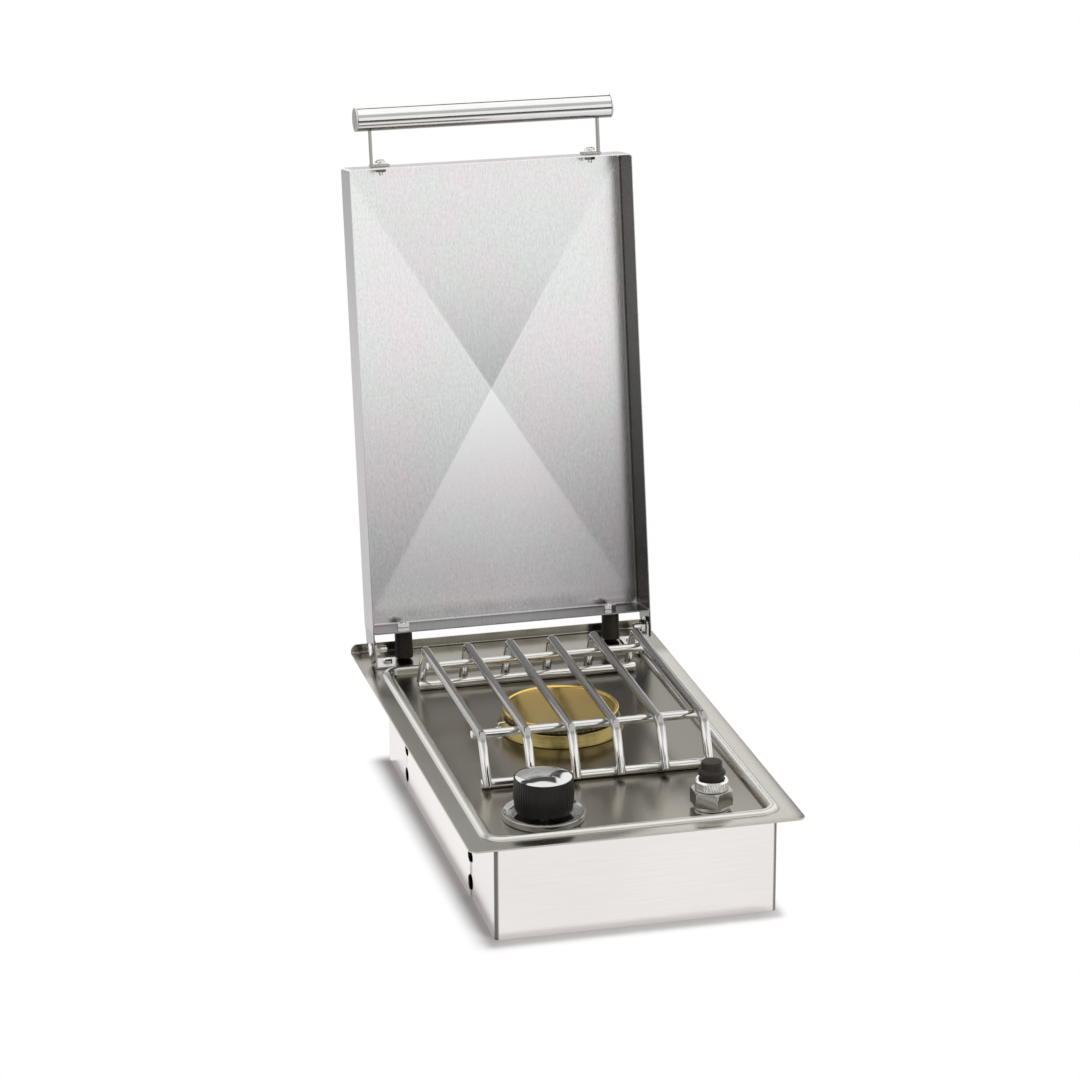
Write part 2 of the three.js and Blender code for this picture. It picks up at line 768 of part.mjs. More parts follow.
const insertRadius = recessRadius - seatGap;
const insertBottomZ = recessZ + seatGap;
const insertTopZ = knobTopZ + insertRise;
const insert = turned([
  [0, insertBottomZ],
  [insertRadius, insertBottomZ],
  [insertRadius, insertTopZ - insertRise],
  [insertRadius - insertRimWidth / 3, insertTopZ],
  [insertRadius - insertRimWidth, insertTopZ],
  [insertRadius - 2 * insertRimWidth, insertTopZ - insertDish / 2],
  [0, insertTopZ - insertDish],
]);
addPiece(counter, 'knob_insert', solid(insert.translate(knobX, knobY, 0)), chromePlate());

// Igniter: barrel through the floor, washer, hexagonal nut, knurled collar and rubber boot
const washerZ = floorZ + seatGap;
const nutZ = washerZ + washerHeight;
const nutTopZ = nutZ + nutHeight;
const collarZ = nutTopZ + seatGap;
const collarTopZ = collarZ + collarHeight;
const igniterBore = barrelRadius + seatGap;
const barrelBottomZ = floorZ - barrelDrop;
const barrel = turned([
  [0, barrelBottomZ],
  [barrelRadius, barrelBottomZ],
  [barrelRadius, floorUnderZ - seatGap - barrelFlangeHeight],
  [barrelFlangeRadius, floorUnderZ - seatGap - barrelFlangeHeight],
  [barrelFlangeRadius, floorUnderZ - seatGap],
  [barrelRadius, floorUnderZ - seatGap],
  [barrelRadius, floorZ + barrelRise],
  [0, floorZ + barrelRise],
], smallSides);
addPiece(counter, 'igniter_body', solid(barrel.translate(igniterX, igniterY, 0)), blackPlastic());
drillFloor(igniterBore, igniterX, igniterY);

function igniterRing(radius, z0, z1, bore) {
  const outer = uprightBar(radius, z0, z1, igniterX, igniterY);
  return outer.subtract(uprightBar(bore, z0 - overrun, z1 + overrun, igniterX, igniterY, smallSides));
}
const washer = igniterRing(washerRadius, washerZ, washerZ + washerHeight - seatGap, igniterBore);
addPiece(counter, 'igniter_washer', washer, brushedSteel());

let igniterNut = hexPrism(nutCornerRadius, nutZ, nutTopZ, igniterX, igniterY);
igniterNut = igniterNut.intersect(solid(turned([
  [0, nutZ - overrun],
  [nutCornerRadius + overrun, nutZ - overrun],
  [nutCornerRadius + overrun, nutTopZ - nutChamfer],
  [nutCornerRadius, nutTopZ - nutChamfer],
  [nutTopRadius, nutTopZ],
  [0, nutTopZ],
]).translate(igniterX, igniterY, 0)));
igniterNut = igniterNut.subtract(uprightBar(igniterBore, nutZ - overrun, nutTopZ + overrun, igniterX, igniterY,
  smallSides));
addPiece(counter, 'igniter_nut', igniterNut, brightSteel());

const collarLoops = [collarZ, collarTopZ - collarRimHeight].map(
  (z) => flutedLoop(collarRadius, collarFluteDepth, collarFluteCount, z),
);
collarLoops.push(flutedLoop(collarRimRadius, 0, collarFluteCount, collarTopZ));
let collar = solid(loft(new THREE.Vector3(0, 0, collarZ), collarLoops, new THREE.Vector3(0, 0, collarTopZ))
  .translate(igniterX, igniterY, 0));
collar = collar.subtract(uprightBar(igniterBore, collarZ - overrun, collarTopZ, igniterX, igniterY, smallSides));
collar = collar.subtract(uprightBar(collarBoreRadius, collarTopZ - collarBoreDepth, collarTopZ + overrun,
  igniterX, igniterY));
addPiece(counter, 'igniter_collar', collar, brightSteel());

const bootStemRise = collarTopZ - floorZ - collarBoreDepth + bootPush + seatGap;
const boot = turned([
  [0, bootStemRise],
  [bootStemRadius, bootStemRise],
  [bootStemRadius, bootNeckRise],
  [bootBulgeRadius, bootBulgeRise],
  [bootShoulderRadius, bootShoulderRise],
  [bootTopRadius, bootStepRise],
  [bootTopRadius, bootTopRise - bootCrownEdge],
  [bootTopRadius - bootCrownEdge, bootTopRise],
  [0, bootTopRise],
]);
addPiece(counter, 'igniter_boot', solid(boot.translate(igniterX, igniterY, floorZ)), blackRubber());

// Electrode beside the burner, its clip under the floor and the lead from the igniter
const electrodeReach = baseFootRadius + ceramicGap + ceramicRadius;
const electrodeX = electrodeReach * Math.cos(electrodeAngle);
const electrodeY = burnerY + electrodeReach * Math.sin(electrodeAngle);
const clipTopZ = floorUnderZ - seatGap;
const clipBottomZ = clipTopZ - clipThickness;
const ceramicTopZ = floorZ + ceramicRise;
const ceramicBottomZ = floorZ - ceramicDrop;
const shoulderTopZ = clipBottomZ - seatGap;
const ceramic = turned([
  [0, ceramicBottomZ],
  [ceramicRadius, ceramicBottomZ],
  [ceramicRadius, shoulderTopZ - ceramicShoulderHeight],
  [ceramicShoulderRadius, shoulderTopZ - ceramicShoulderHeight],
  [ceramicShoulderRadius, shoulderTopZ],
  [ceramicRadius, shoulderTopZ],
  [ceramicRadius, ceramicTopZ],
  [0, ceramicTopZ],
], smallSides);
addPiece(counter, 'electrode_ceramic', solid(ceramic.translate(electrodeX, electrodeY, 0)), whiteCeramic());
const ceramicHole = ceramicRadius + seatGap;
drillFloor(ceramicHole, electrodeX, electrodeY);

const clipFarX = electrodeX - clipWidth / 2;
let clip = block(clipFarX, clipFarX + clipWidth, electrodeY - clipLength / 2, electrodeY + clipLength / 2,
  clipBottomZ, clipTopZ);
clip = clip.subtract(uprightBar(ceramicHole, clipBottomZ - overrun, clipTopZ + overrun, electrodeX, electrodeY,
  smallSides));
addPiece(counter, 'electrode_bracket', clip, brushedSteel());

// The tip rises from the ceramic and turns towards the burner
const tipStart = new THREE.Vector3(electrodeX, electrodeY, ceramicTopZ + seatGap);
const tipCorner = tipStart.clone().setZ(tipStart.z + tipRise);
const towardsBurner = new THREE.Vector3(-Math.cos(electrodeAngle), -Math.sin(electrodeAngle), 0);

const tipEnd = towardsBurner.clone().multiplyScalar(tipReach).add(tipCorner);
const tipPoints = [tipStart, ...bendPoints(tipStart, tipCorner, tipEnd, tipBend), tipEnd];
addPiece(counter, 'electrode_tip', solid(bentBar(tipPoints, tipRadius, wireSides)), brightSteel());

// The lead is held under the floor from the igniter's barrel to the foot of the ceramic. Its places are
// shares of the way between them, across and along, and of the casing's drop
const leadPlaceShares = [
  [0.02, 0.11, 0.72],
  [0.14, 0.48, 0.77],
  [0.31, 0.89, 0.79],
  [0.62, 1.17, 0.78],
  [0.91, 1.13, 0.68],
];
const leadPlaces = leadPlaceShares.map(([across, along, down]) => new THREE.Vector3(
  igniterX + across * (electrodeX - igniterX),
  igniterY + along * (electrodeY - igniterY),
  -down * casingDrop,
));
const leadRoute = new THREE.CatmullRomCurve3([
  new THREE.Vector3(igniterX, igniterY, barrelBottomZ - seatGap),
  new THREE.Vector3(igniterX, igniterY, barrelBottomZ - leadBarrelTail),
  ...leadPlaces,
  new THREE.Vector3(electrodeX, electrodeY, ceramicBottomZ - leadCeramicTail),
  new THREE.Vector3(electrodeX, electrodeY, ceramicBottomZ - seatGap),
]);
const leadOptions = { steps: leadSteps, extrudePath: leadRoute, curveSegments: wireSides / 2, bevelEnabled: false };
const lead = new THREE.ExtrudeGeometry(roundShape(leadRadius), leadOptions);
addPiece(counter, 'ignition_lead', solid(lead), blackRubber());

// Casing: a front and a rear channel, two side panels and a vented bottom
const casingTopZ = flangeUnderZ - seatGap;

function casingChannel(run) {
  const outer = casingHalf;
  const inner = casingHalf - casingSheet;
  const innerBend = casingBend - casingSheet;
  const corner = outer - casingBend;
  const shape = new THREE.Shape();
  shape.moveTo(-outer, run);
  shape.absarc(-corner, casingBend, casingBend, Math.PI, 1.5 * Math.PI, false);
  shape.absarc(corner, casingBend, casingBend, 1.5 * Math.PI, 2 * Math.PI, false);
  shape.lineTo(outer, run);
  shape.lineTo(inner, run);
  shape.absarc(corner, casingBend, innerBend, 2 * Math.PI, 1.5 * Math.PI, true);
  shape.absarc(-corner, casingBend, innerBend, 1.5 * Math.PI, Math.PI, true);
  shape.lineTo(-inner, run);
  const depth = casingTopZ - casingBottomZ;
  return new THREE.ExtrudeGeometry(shape, { depth, bevelEnabled: false, curveSegments: slotSteps });
}

// Oval opening that two neighbouring sheets share at their seam, on both sides of the casing
function cutSeam(piece, seamY) {
  let result = piece;
  for (const side of [-1, 1]) {
    for (const [rise, height] of [[lowSlotRise, lowSlotHeight], [highSlotRise, highSlotHeight]]) {
      const slot = new THREE.CylinderGeometry(1, 1, 1, smallSides).rotateZ(Math.PI / 2);
      slot.scale(casingSheet + overrun, seamSlotLength / 2, height / 2);
      result = result.subtract(solid(slot.translate(side * casingHalf, seamY, casingBottomZ + rise)));
    }
  }
  return result;
}

const frontChannel = casingChannel(frontSeamRun - seamGap / 2).translate(0, casingFrontInset, casingBottomZ);
addPiece(counter, 'casing_front', cutSeam(solid(frontChannel), frontSeamY), brushedSteel());

const rearChannel = casingChannel(rearSeamRun - seamGap / 2).rotateZ(Math.PI);
let casingRear = cutSeam(solid(rearChannel.translate(0, casingRearY, casingBottomZ)), rearSeamY);
casingRear = casingRear.subtract(block(-casingHalf - overrun, casingHalf + overrun,
  casingRearY - casingSheet - casingBend, casingRearY + overrun, floorUnderZ - seatGap, overrun));
addPiece(counter, 'casing_rear', casingRear, brushedSteel());

for (const [name, side] of [['casing_left', -1], ['casing_right', 1]]) {
  const y0 = frontSeamY + seamGap / 2;
  const y1 = rearSeamY - seamGap / 2;
  const outer = side * casingHalf;
  const wall = side * (casingHalf - casingSheet);
  const tab = side * (casingHalf - panelTabWidth);
  const tabTopZ = floorUnderZ - seatGap;
  let panel = block(Math.min(outer, wall), Math.max(outer, wall), y0, y1, casingBottomZ, casingTopZ);
  panel = panel.add(block(Math.min(outer, tab), Math.max(outer, tab), y0, y1, tabTopZ - casingSheet, tabTopZ));
  addPiece(counter, name, cutSeam(cutSeam(panel, frontSeamY), rearSeamY), brushedSteel());
}

const bottomHalf = casingHalf - casingSheet - seatGap;
const bottomFrontY = casingFrontInset + casingSheet + seatGap;
const bottomRearY = casingRearY - casingSheet - seatGap;
const bottomMiddleY = (bottomFrontY + bottomRearY) / 2;
let casingBottom = block(-bottomHalf, bottomHalf, bottomFrontY, bottomRearY, casingBottomZ,
  casingBottomZ + casingSheet);
casingBottom = casingBottom.intersect(uprightCorners());
for (const rowSide of [-1, 1]) {
  for (const columnSide of [-1, 1]) {
    for (let i = 0; i < ventCount; i += 1) {
      const x = rowSide * (casingHalf - ventSideInset);
      const columnY = bottomMiddleY + columnSide * ((casingRearY - casingFrontInset) / 2 - ventEndInset);
      const y = columnY + (i - (ventCount - 1) / 2) * ventPitch;
      casingBottom = casingBottom.subtract(ventSlot(x, y));
    }
  }
}
casingBottom = casingBottom.subtract(uprightBar(inletRadius + seatGap, casingBottomZ - overrun,
  casingBottomZ + casingSheet + overrun, knobX, knobY, smallSides));
addPiece(counter, 'casing_bottom', casingBottom, brushedSteel());

// Outline of the bottom plate, rounded to fit inside the casing's bends
function uprightCorners() {
  const radius = casingBend - casingSheet;
  const outline = roundedOutline(-bottomHalf, bottomHalf, bottomFrontY, bottomRearY, radius, radius);
  const shape = new THREE.Shape(outline.map(([x, y]) => new THREE.Vector2(x, y)));
  const plate = new THREE.ExtrudeGeometry(shape, { depth: casingSheet + 2 * overrun, bevelEnabled: false });
  return solid(plate.translate(0, 0, casingBottomZ - overrun));
}

function ventSlot(x, y) {
  const half = ventSlotWidth / 2;
  const reach = ventSlotLength / 2 - half;
  const shape = new THREE.Shape();
  shape.absarc(reach, 0, half, -Math.PI / 2, Math.PI / 2, false);
  shape.absarc(-reach, 0, half, Math.PI / 2, 1.5 * Math.PI, false);
  const depth = casingSheet + 2 * overrun;
  const slot = new THREE.ExtrudeGeometry(shape, { depth, bevelEnabled: false, curveSegments: slotSteps });
  return solid(slot.translate(x, y, casingBottomZ - overrun));
}

// Grid: bent rods that stand on two foot rods, with two more under their tops
const gridTopZ = floorZ + gridRise;
const legEndZ = floorZ + legEndRise;
const legDrop = gridTopZ - legEndZ;
const legAngle = Math.atan2(legSplay, legDrop);
const crossFootZ = floorZ + seatGap + rodDiameter / 2;
const rodTouch = rodDiameter + seatGap;
const footOffset = gridHalfSpan + (gridTopZ - crossFootZ) * Math.tan(legAngle) - rodTouch / Math.cos(legAngle);
for (let i = 0; i < rodCount; i += 1) {
  const x = (i - (rodCount - 1) / 2) * rodPitch;
  const frontFoot = new THREE.Vector3(x, gridY - gridHalfSpan - legSplay, legEndZ);
  const frontBend = new THREE.Vector3(x, gridY - gridHalfSpan, gridTopZ);
  const rearBend = new THREE.Vector3(x, gridY + gridHalfSpan, gridTopZ);
  const rearFoot = new THREE.Vector3(x, gridY + gridHalfSpan + legSplay, legEndZ);
  const points = [
    frontFoot,
    ...bendPoints(frontFoot, frontBend, rearBend, rodBendRadius),
    ...bendPoints(frontBend, rearBend, rearFoot, rodBendRadius),
    rearFoot,
  ];
  addPiece(counter, `grid_rod_${i + 1}`, solid(bentBar(points, rodDiameter / 2, rodSides)), brightSteel());
}
for (const [name, y, z] of [
  ['grid_cross_top_front', gridY - gridHalfSpan + frontCrossInset, gridTopZ - rodTouch],
  ['grid_cross_top_rear', gridY + gridHalfSpan - rearCrossInset, gridTopZ - rodTouch],
  ['grid_cross_foot_front', gridY - footOffset, crossFootZ],
  ['grid_cross_foot_rear', gridY + footOffset, crossFootZ],
]) {
  addPiece(counter, name, crossBar(rodDiameter / 2, -crossHalf, crossHalf, y, z, rodSides), brightSteel());
}

// Hinge: a bracket on the rear strip, a pin through the lid's ear and a nut inside, on each side
const bracketOuterX = lidHalf - lidSheet - bracketSideGap;
const bracketInnerX = bracketOuterX - bracketSheet;
const bracketFootZ = seatGap;
const bracketFrontY = pinY - (bracketLength - bracketBack);
const bracketRearY = pinY + bracketBack;
const screwY = (bracketFrontY + bracketRearY) / 2 + screwPlaceBack;
const pinBore = turningBore(pinRadius, smallSides);
for (const [suffix, side] of [['left', -1], ['right', 1]]) {
  const span = (a, b) => (side > 0 ? [a, b] : [-b, -a]);
  const cheek = new THREE.Shape();
  cheek.moveTo(bracketFrontY, bracketFootZ);
  cheek.lineTo(bracketRearY, bracketFootZ);
  cheek.lineTo(bracketRearY, bracketFootZ + bracketSheet);
  cheek.absarc(pinY, pinRise, bracketTopRadius, 0, Math.PI, false);
  cheek.lineTo(bracketFrontY, bracketFootZ + bracketSheet);
  const cheekOptions = { depth: bracketSheet, bevelEnabled: false, curveSegments: bendSteps };
  const cheekPlate = new THREE.ExtrudeGeometry(cheek, cheekOptions).rotateX(Math.PI / 2).rotateZ(Math.PI / 2);
  const [cheekX] = span(bracketInnerX, bracketOuterX);
  const [footX0, footX1] = span(bracketOuterX - bracketFootWidth, bracketOuterX);
  let bracket = solid(cheekPlate.translate(cheekX, 0, 0)).add(block(footX0, footX1, bracketFrontY,
    bracketRearY, bracketFootZ, bracketFootZ + bracketSheet));
  const screwX = side * (bracketOuterX - screwInset);
  const [holeX0, holeX1] = span(bracketInnerX - overrun, bracketOuterX + overrun);
  bracket = bracket.subtract(crossBar(pinBore, holeX0, holeX1, pinY, pinRise, smallSides));
  bracket = bracket.subtract(uprightBar(screwRadius + seatGap, -overrun, overrun, screwX, screwY, smallSides));
  addPiece(counter, `hinge_bracket_${suffix}`, bracket, brushedSteel());

  const screwSeatZ = bracketFootZ + bracketSheet + seatGap;
  const screw = turned([
    [0, screwSeatZ - screwLength],
    [screwRadius, screwSeatZ - screwLength],
    [screwRadius, screwSeatZ],
    [screwHeadRadius, screwSeatZ],
    [screwHeadRadius, screwSeatZ + screwHeadHeight / 2],
    [screwRadius, screwSeatZ + screwHeadHeight],
    [0, screwSeatZ + screwHeadHeight],
  ], smallSides);
  addPiece(counter, `bracket_screw_${suffix}`, solid(screw.translate(screwX, screwY, 0)), brightSteel());
  topPan = topPan.subtract(uprightBar(screwRadius + seatGap, flangeUnderZ - overrun, overrun, screwX, screwY,
    smallSides));

  // The pin is turned about Z with its head up, then laid along X with its head outwards
  const pinSeatX = lidHalf + seatGap;
  const nutOuterX = bracketInnerX - seatGap;
  const pinTip = nutOuterX - hingeNutHeight - pinTail;
  const pin = turned([
    [0, pinTip],
    [pinRadius, pinTip],
    [pinRadius, pinSeatX],
    [pinHeadRadius, pinSeatX],
    [pinHeadRadius, pinSeatX + pinHeadHeight - pinHeadEdge],
    [pinHeadRadius - pinHeadEdge, pinSeatX + pinHeadHeight],
    [0, pinSeatX + pinHeadHeight],
  ], smallSides).rotateY(side * Math.PI / 2);
  addPiece(counter, `hinge_pin_${suffix}`, solid(pin.translate(0, pinY, pinRise)), brightSteel());

  const [nutX0, nutX1] = span(nutOuterX - hingeNutHeight, nutOuterX);
  let hingeNut = solid(new THREE.CylinderGeometry(hingeNutRadius, hingeNutRadius, hingeNutHeight, 6)
    .rotateZ(Math.PI / 2).translate((nutX0 + nutX1) / 2, pinY, pinRise));
  hingeNut = hingeNut.subtract(crossBar(pinBore, nutX0 - overrun, nutX1 + overrun, pinY, pinRise, smallSides));
  addPiece(counter, `hinge_nut_${suffix}`, hingeNut, brightSteel());
}
addPiece(counter, 'top_pan', topPan, polishedSteel());

// Lid, in a group at the pin that leans back: here -Y is the lid's hollow side and Z runs to its front lip
const lidGroup = new THREE.Group();
lidGroup.position.set(0, pinY, pinRise);
lidGroup.rotation.x = -lidLean;
counter.add(lidGroup);

const lidBackY = lidBackOffset;
const lidFreeY = lidBackOffset - lidSkirt;
const lidMiddleZ = lidHeelGap + lidLength / 2;

function lidLoop(shrink, radius, y) {
  const half = lidHalf - shrink;
  const outline = roundedOutline(-half, half, lidHeelGap + shrink, lidTopRun - shrink, radius, radius);
  return outline.map(([x, z]) => new THREE.Vector3(x, y, z));
}

// Side walls from the free edge, round the bend and onto the panel, for the outer or the inner skin
function lidSkin(shrink) {
  const bend = lidBend - shrink;
  const corner = lidCornerRadius - shrink;
  const loops = [lidLoop(shrink, corner, lidFreeY)];
  for (let step = 0; step <= bendSteps; step += 1) {
    const angle = step / bendSteps * Math.PI / 2;
    const inset = bend * (1 - Math.cos(angle));
    const y = lidBackY - lidBend + bend * Math.sin(angle);
    loops.push(lidLoop(shrink + inset, corner + lidBend, y));
  }
  loops[1] = lidLoop(shrink, corner, lidBackY - lidBend);
  return loops;
}
let lidShell = solid(loft(
  new THREE.Vector3(0, lidBackY - lidSheet + lidCrown, lidMiddleZ),
  [...lidSkin(lidSheet).reverse(), ...lidSkin(0)],
  new THREE.Vector3(0, lidBackY + lidCrown, lidMiddleZ),
));

// Ear: the side wall runs on past the heel to carry the pin
const earOutline = [
  [lidFreeY, lidHeelGap + lidBend],
  [lidFreeY, lidHeelGap - earFrontDrop],
  [lidBackY - earToeInset, lidHeelGap - earToeDrop],
  [lidBackY - earKneeInset, lidHeelGap - earKneeDrop],
  [lidBackY - lidBend, earTop],
  [lidBackY - lidBend, earTop + lidBend],
  [lidFreeY, earTop + lidBend],
];
const earShape = new THREE.Shape(earOutline.map(([y, z]) => new THREE.Vector2(y, z)));
for (const side of [-1, 1]) {
  const earOptions = { depth: lidSheet, bevelEnabled: false };
  const ear = new THREE.ExtrudeGeometry(earShape, earOptions).rotateX(Math.PI / 2).rotateZ(Math.PI / 2);
  const earX = side > 0 ? lidHalf - lidSheet : -lidHalf;
  lidShell = lidShell.add(solid(ear.translate(earX, 0, 0)));
  const [x0, x1] = [side * lidHalf - overrun, side * lidHalf + overrun];
  lidShell = lidShell.subtract(crossBar(pinBore, x0, x1, 0, 0, smallSides));
  lidShell = lidShell.subtract(uprightBar(studRadius + seatGap, lidHeelGap - overrun,
    lidHeelGap + lidSheet + overrun, side * bumperX, bumperOffset, smallSides));
  lidShell = lidShell.subtract(uprightBar(boltRadius + seatGap, lidTopRun - lidSheet - overrun,
    lidTopRun + overrun, side * (strapX - boltInset), handleOffset, smallSides));
}
addPiece(lidGroup, 'lid_shell', lidShell, brushedSteel());

// Bumpers stand on the rear strip when the lid is open, one on each side
const bumperTopZ = lidHeelGap - seatGap;
const bumperFootZ = (seatGap - pinRise + (bumperOffset + bumperRadius) * Math.sin(lidLean)) / Math.cos(lidLean);
const handleZ = lidTopRun + handleRise;
const tubeHalf = handleHalf - plugFace - seatGap;
for (const [suffix, side] of [['left', -1], ['right', 1]]) {
  const x = side * bumperX;
  const bumper = turned([
    [0, bumperFootZ],
    [bumperRadius - bumperEdge, bumperFootZ],
    [bumperRadius, bumperFootZ + bumperEdge],
    [bumperRadius, bumperTopZ - bumperEdge],
    [bumperRadius - bumperEdge, bumperTopZ],
    [studRadius + seatGap, bumperTopZ],
    [studRadius + seatGap, bumperTopZ - studDepth - seatGap],
    [0, bumperTopZ - studDepth - seatGap],
  ], smallSides);
  addPiece(lidGroup, `bumper_${suffix}`, solid(bumper.translate(x, bumperOffset, 0)), blackRubber());

  const nutSeatZ = lidHeelGap + lidSheet + seatGap;
  const nut = hexPrism(bumperNutRadius, nutSeatZ, nutSeatZ + bumperNutHeight, x, bumperOffset);
  const stud = uprightBar(studRadius, bumperTopZ - studDepth, nutSeatZ + bumperNutHeight + studTail, x,
    bumperOffset, smallSides);
  addPiece(lidGroup, `bumper_nut_${suffix}`, nut.add(stud), brightSteel());

  // Handle strap: a foot on the front lip, bent up to the tube
  const footZ = lidTopRun + seatGap;
  const strapInnerX = strapX - strapThickness / 2;
  const strapOuterX = strapX + strapThickness / 2;
  const span = (a, b) => (side > 0 ? [a, b] : [-b, -a]);
  const [uprightX0, uprightX1] = span(strapInnerX, strapOuterX);
  const [footX0, footX1] = span(strapX - strapFoot, strapOuterX);
  const [strapY0, strapY1] = [handleOffset - strapWidth / 2, handleOffset + strapWidth / 2];
  const [neckY0, neckY1] = [handleOffset - strapNeckWidth / 2, handleOffset + strapNeckWidth / 2];
  let strap = block(uprightX0, uprightX1, neckY0, neckY1, footZ, handleZ - handleRadius + strapBury);
  strap = strap.add(block(footX0, footX1, strapY0, strapY1, footZ, footZ + strapThickness));
  const tubeSpace = crossBar(handleRadius + seatGap, footX0 - overrun, footX1 + overrun, handleOffset, handleZ);
  const boltX = side * (strapX - boltInset);
  strap = strap.subtract(tubeSpace).subtract(uprightBar(boltRadius + seatGap, footZ - overrun,
    footZ + strapThickness + overrun, boltX, handleOffset, smallSides));
  addPiece(lidGroup, `handle_bracket_${suffix}`, strap, brushedSteel());

  const headZ = footZ + strapThickness + seatGap;
  const boltNutTopZ = lidTopRun - lidSheet - seatGap;
  const boltTipZ = boltNutTopZ - boltNutHeight - boltTail;
  const bolt = turned([
    [0, boltTipZ],
    [boltRadius, boltTipZ],
    [boltRadius, headZ],
    [boltHeadRadius, headZ],
    [boltHeadRadius, headZ + boltHeadEdge],
    [boltCrownRadius, headZ + boltHeadHeight],
    [0, headZ + boltHeadHeight],
  ], smallSides);
  addPiece(lidGroup, `handle_bolt_${suffix}`, solid(bolt.translate(boltX, handleOffset, 0)), brightSteel());

  let boltNut = hexPrism(boltNutRadius, boltNutTopZ - boltNutHeight, boltNutTopZ, boltX, handleOffset);
  boltNut = boltNut.subtract(uprightBar(boltRadius + runningGap, boltTipZ, boltNutTopZ + overrun, boltX,
    handleOffset, smallSides));
  addPiece(lidGroup, `handle_nut_${suffix}`, boltNut, brightSteel());

  // End plug of the handle, turned about Z and laid along X
  const spigot = handleRadius - handleWall - seatGap;
  const plug = turned([
    [0, tubeHalf - plugDepth],
    [spigot, tubeHalf - plugDepth],
    [spigot, tubeHalf + seatGap],
    [handleRadius, tubeHalf + seatGap],
    [handleRadius, handleHalf],
    [0, handleHalf],
  ]).rotateY(side * Math.PI / 2).translate(0, handleOffset, handleZ);
  addPiece(lidGroup, `handle_plug_${suffix}`, solid(plug), greyPlastic());
}
const handle = turned([
  [handleRadius - handleWall, -tubeHalf],
  [handleRadius, -tubeHalf],
  [handleRadius, tubeHalf],
  [handleRadius - handleWall, tubeHalf],
]).rotateY(Math.PI / 2).translate(0, handleOffset, handleZ);
addPiece(lidGroup, 'handle_tube', solid(handle), chromePlate());

export default sideBurner;
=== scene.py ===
import bmesh
import bpy
import numpy as np
from mathutils import Matrix


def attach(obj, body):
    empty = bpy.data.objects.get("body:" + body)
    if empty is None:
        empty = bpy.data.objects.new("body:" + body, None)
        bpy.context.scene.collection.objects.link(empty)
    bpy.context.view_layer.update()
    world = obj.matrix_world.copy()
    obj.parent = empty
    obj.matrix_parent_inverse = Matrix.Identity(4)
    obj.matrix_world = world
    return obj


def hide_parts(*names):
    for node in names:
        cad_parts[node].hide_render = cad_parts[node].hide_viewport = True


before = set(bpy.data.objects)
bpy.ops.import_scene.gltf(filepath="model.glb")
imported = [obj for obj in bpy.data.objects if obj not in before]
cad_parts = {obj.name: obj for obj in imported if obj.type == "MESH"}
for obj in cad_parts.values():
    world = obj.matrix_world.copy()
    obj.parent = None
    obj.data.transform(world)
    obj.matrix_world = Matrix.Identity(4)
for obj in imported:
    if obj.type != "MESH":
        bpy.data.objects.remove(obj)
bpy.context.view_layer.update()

# The camera stands to the left of the front, looking down at the burner from about head height.
# Its place, turn and lens were fitted to the corners of the flange, casing, lid and grid.
camera_place = (-0.7897, -3.0306, 1.3208)
yaw, pitch, roll = np.radians([14.08, -18.49, -0.23])
ahead = np.array([np.sin(yaw) * np.cos(pitch), np.cos(yaw) * np.cos(pitch), np.sin(pitch)])
level = np.array([np.cos(yaw), -np.sin(yaw), 0.0])
rise = np.cross(level, ahead)
right = level * np.cos(roll) + rise * np.sin(roll)
above = rise * np.cos(roll) - level * np.sin(roll)
lens = bpy.data.cameras.new("photo_lens")
lens.sensor_width, lens.lens = 36.0, 126.36
viewer = bpy.data.objects.new("photo_camera", lens)
turn = np.eye(4)
turn[:3, 0], turn[:3, 1], turn[:3, 2] = right, above, -ahead
turn[:3, 3] = camera_place
viewer.matrix_world = Matrix(turn.tolist())
bpy.context.scene.collection.objects.link(viewer)
bpy.context.scene.camera = viewer
bpy.context.scene.view_settings.view_transform = "Standard"


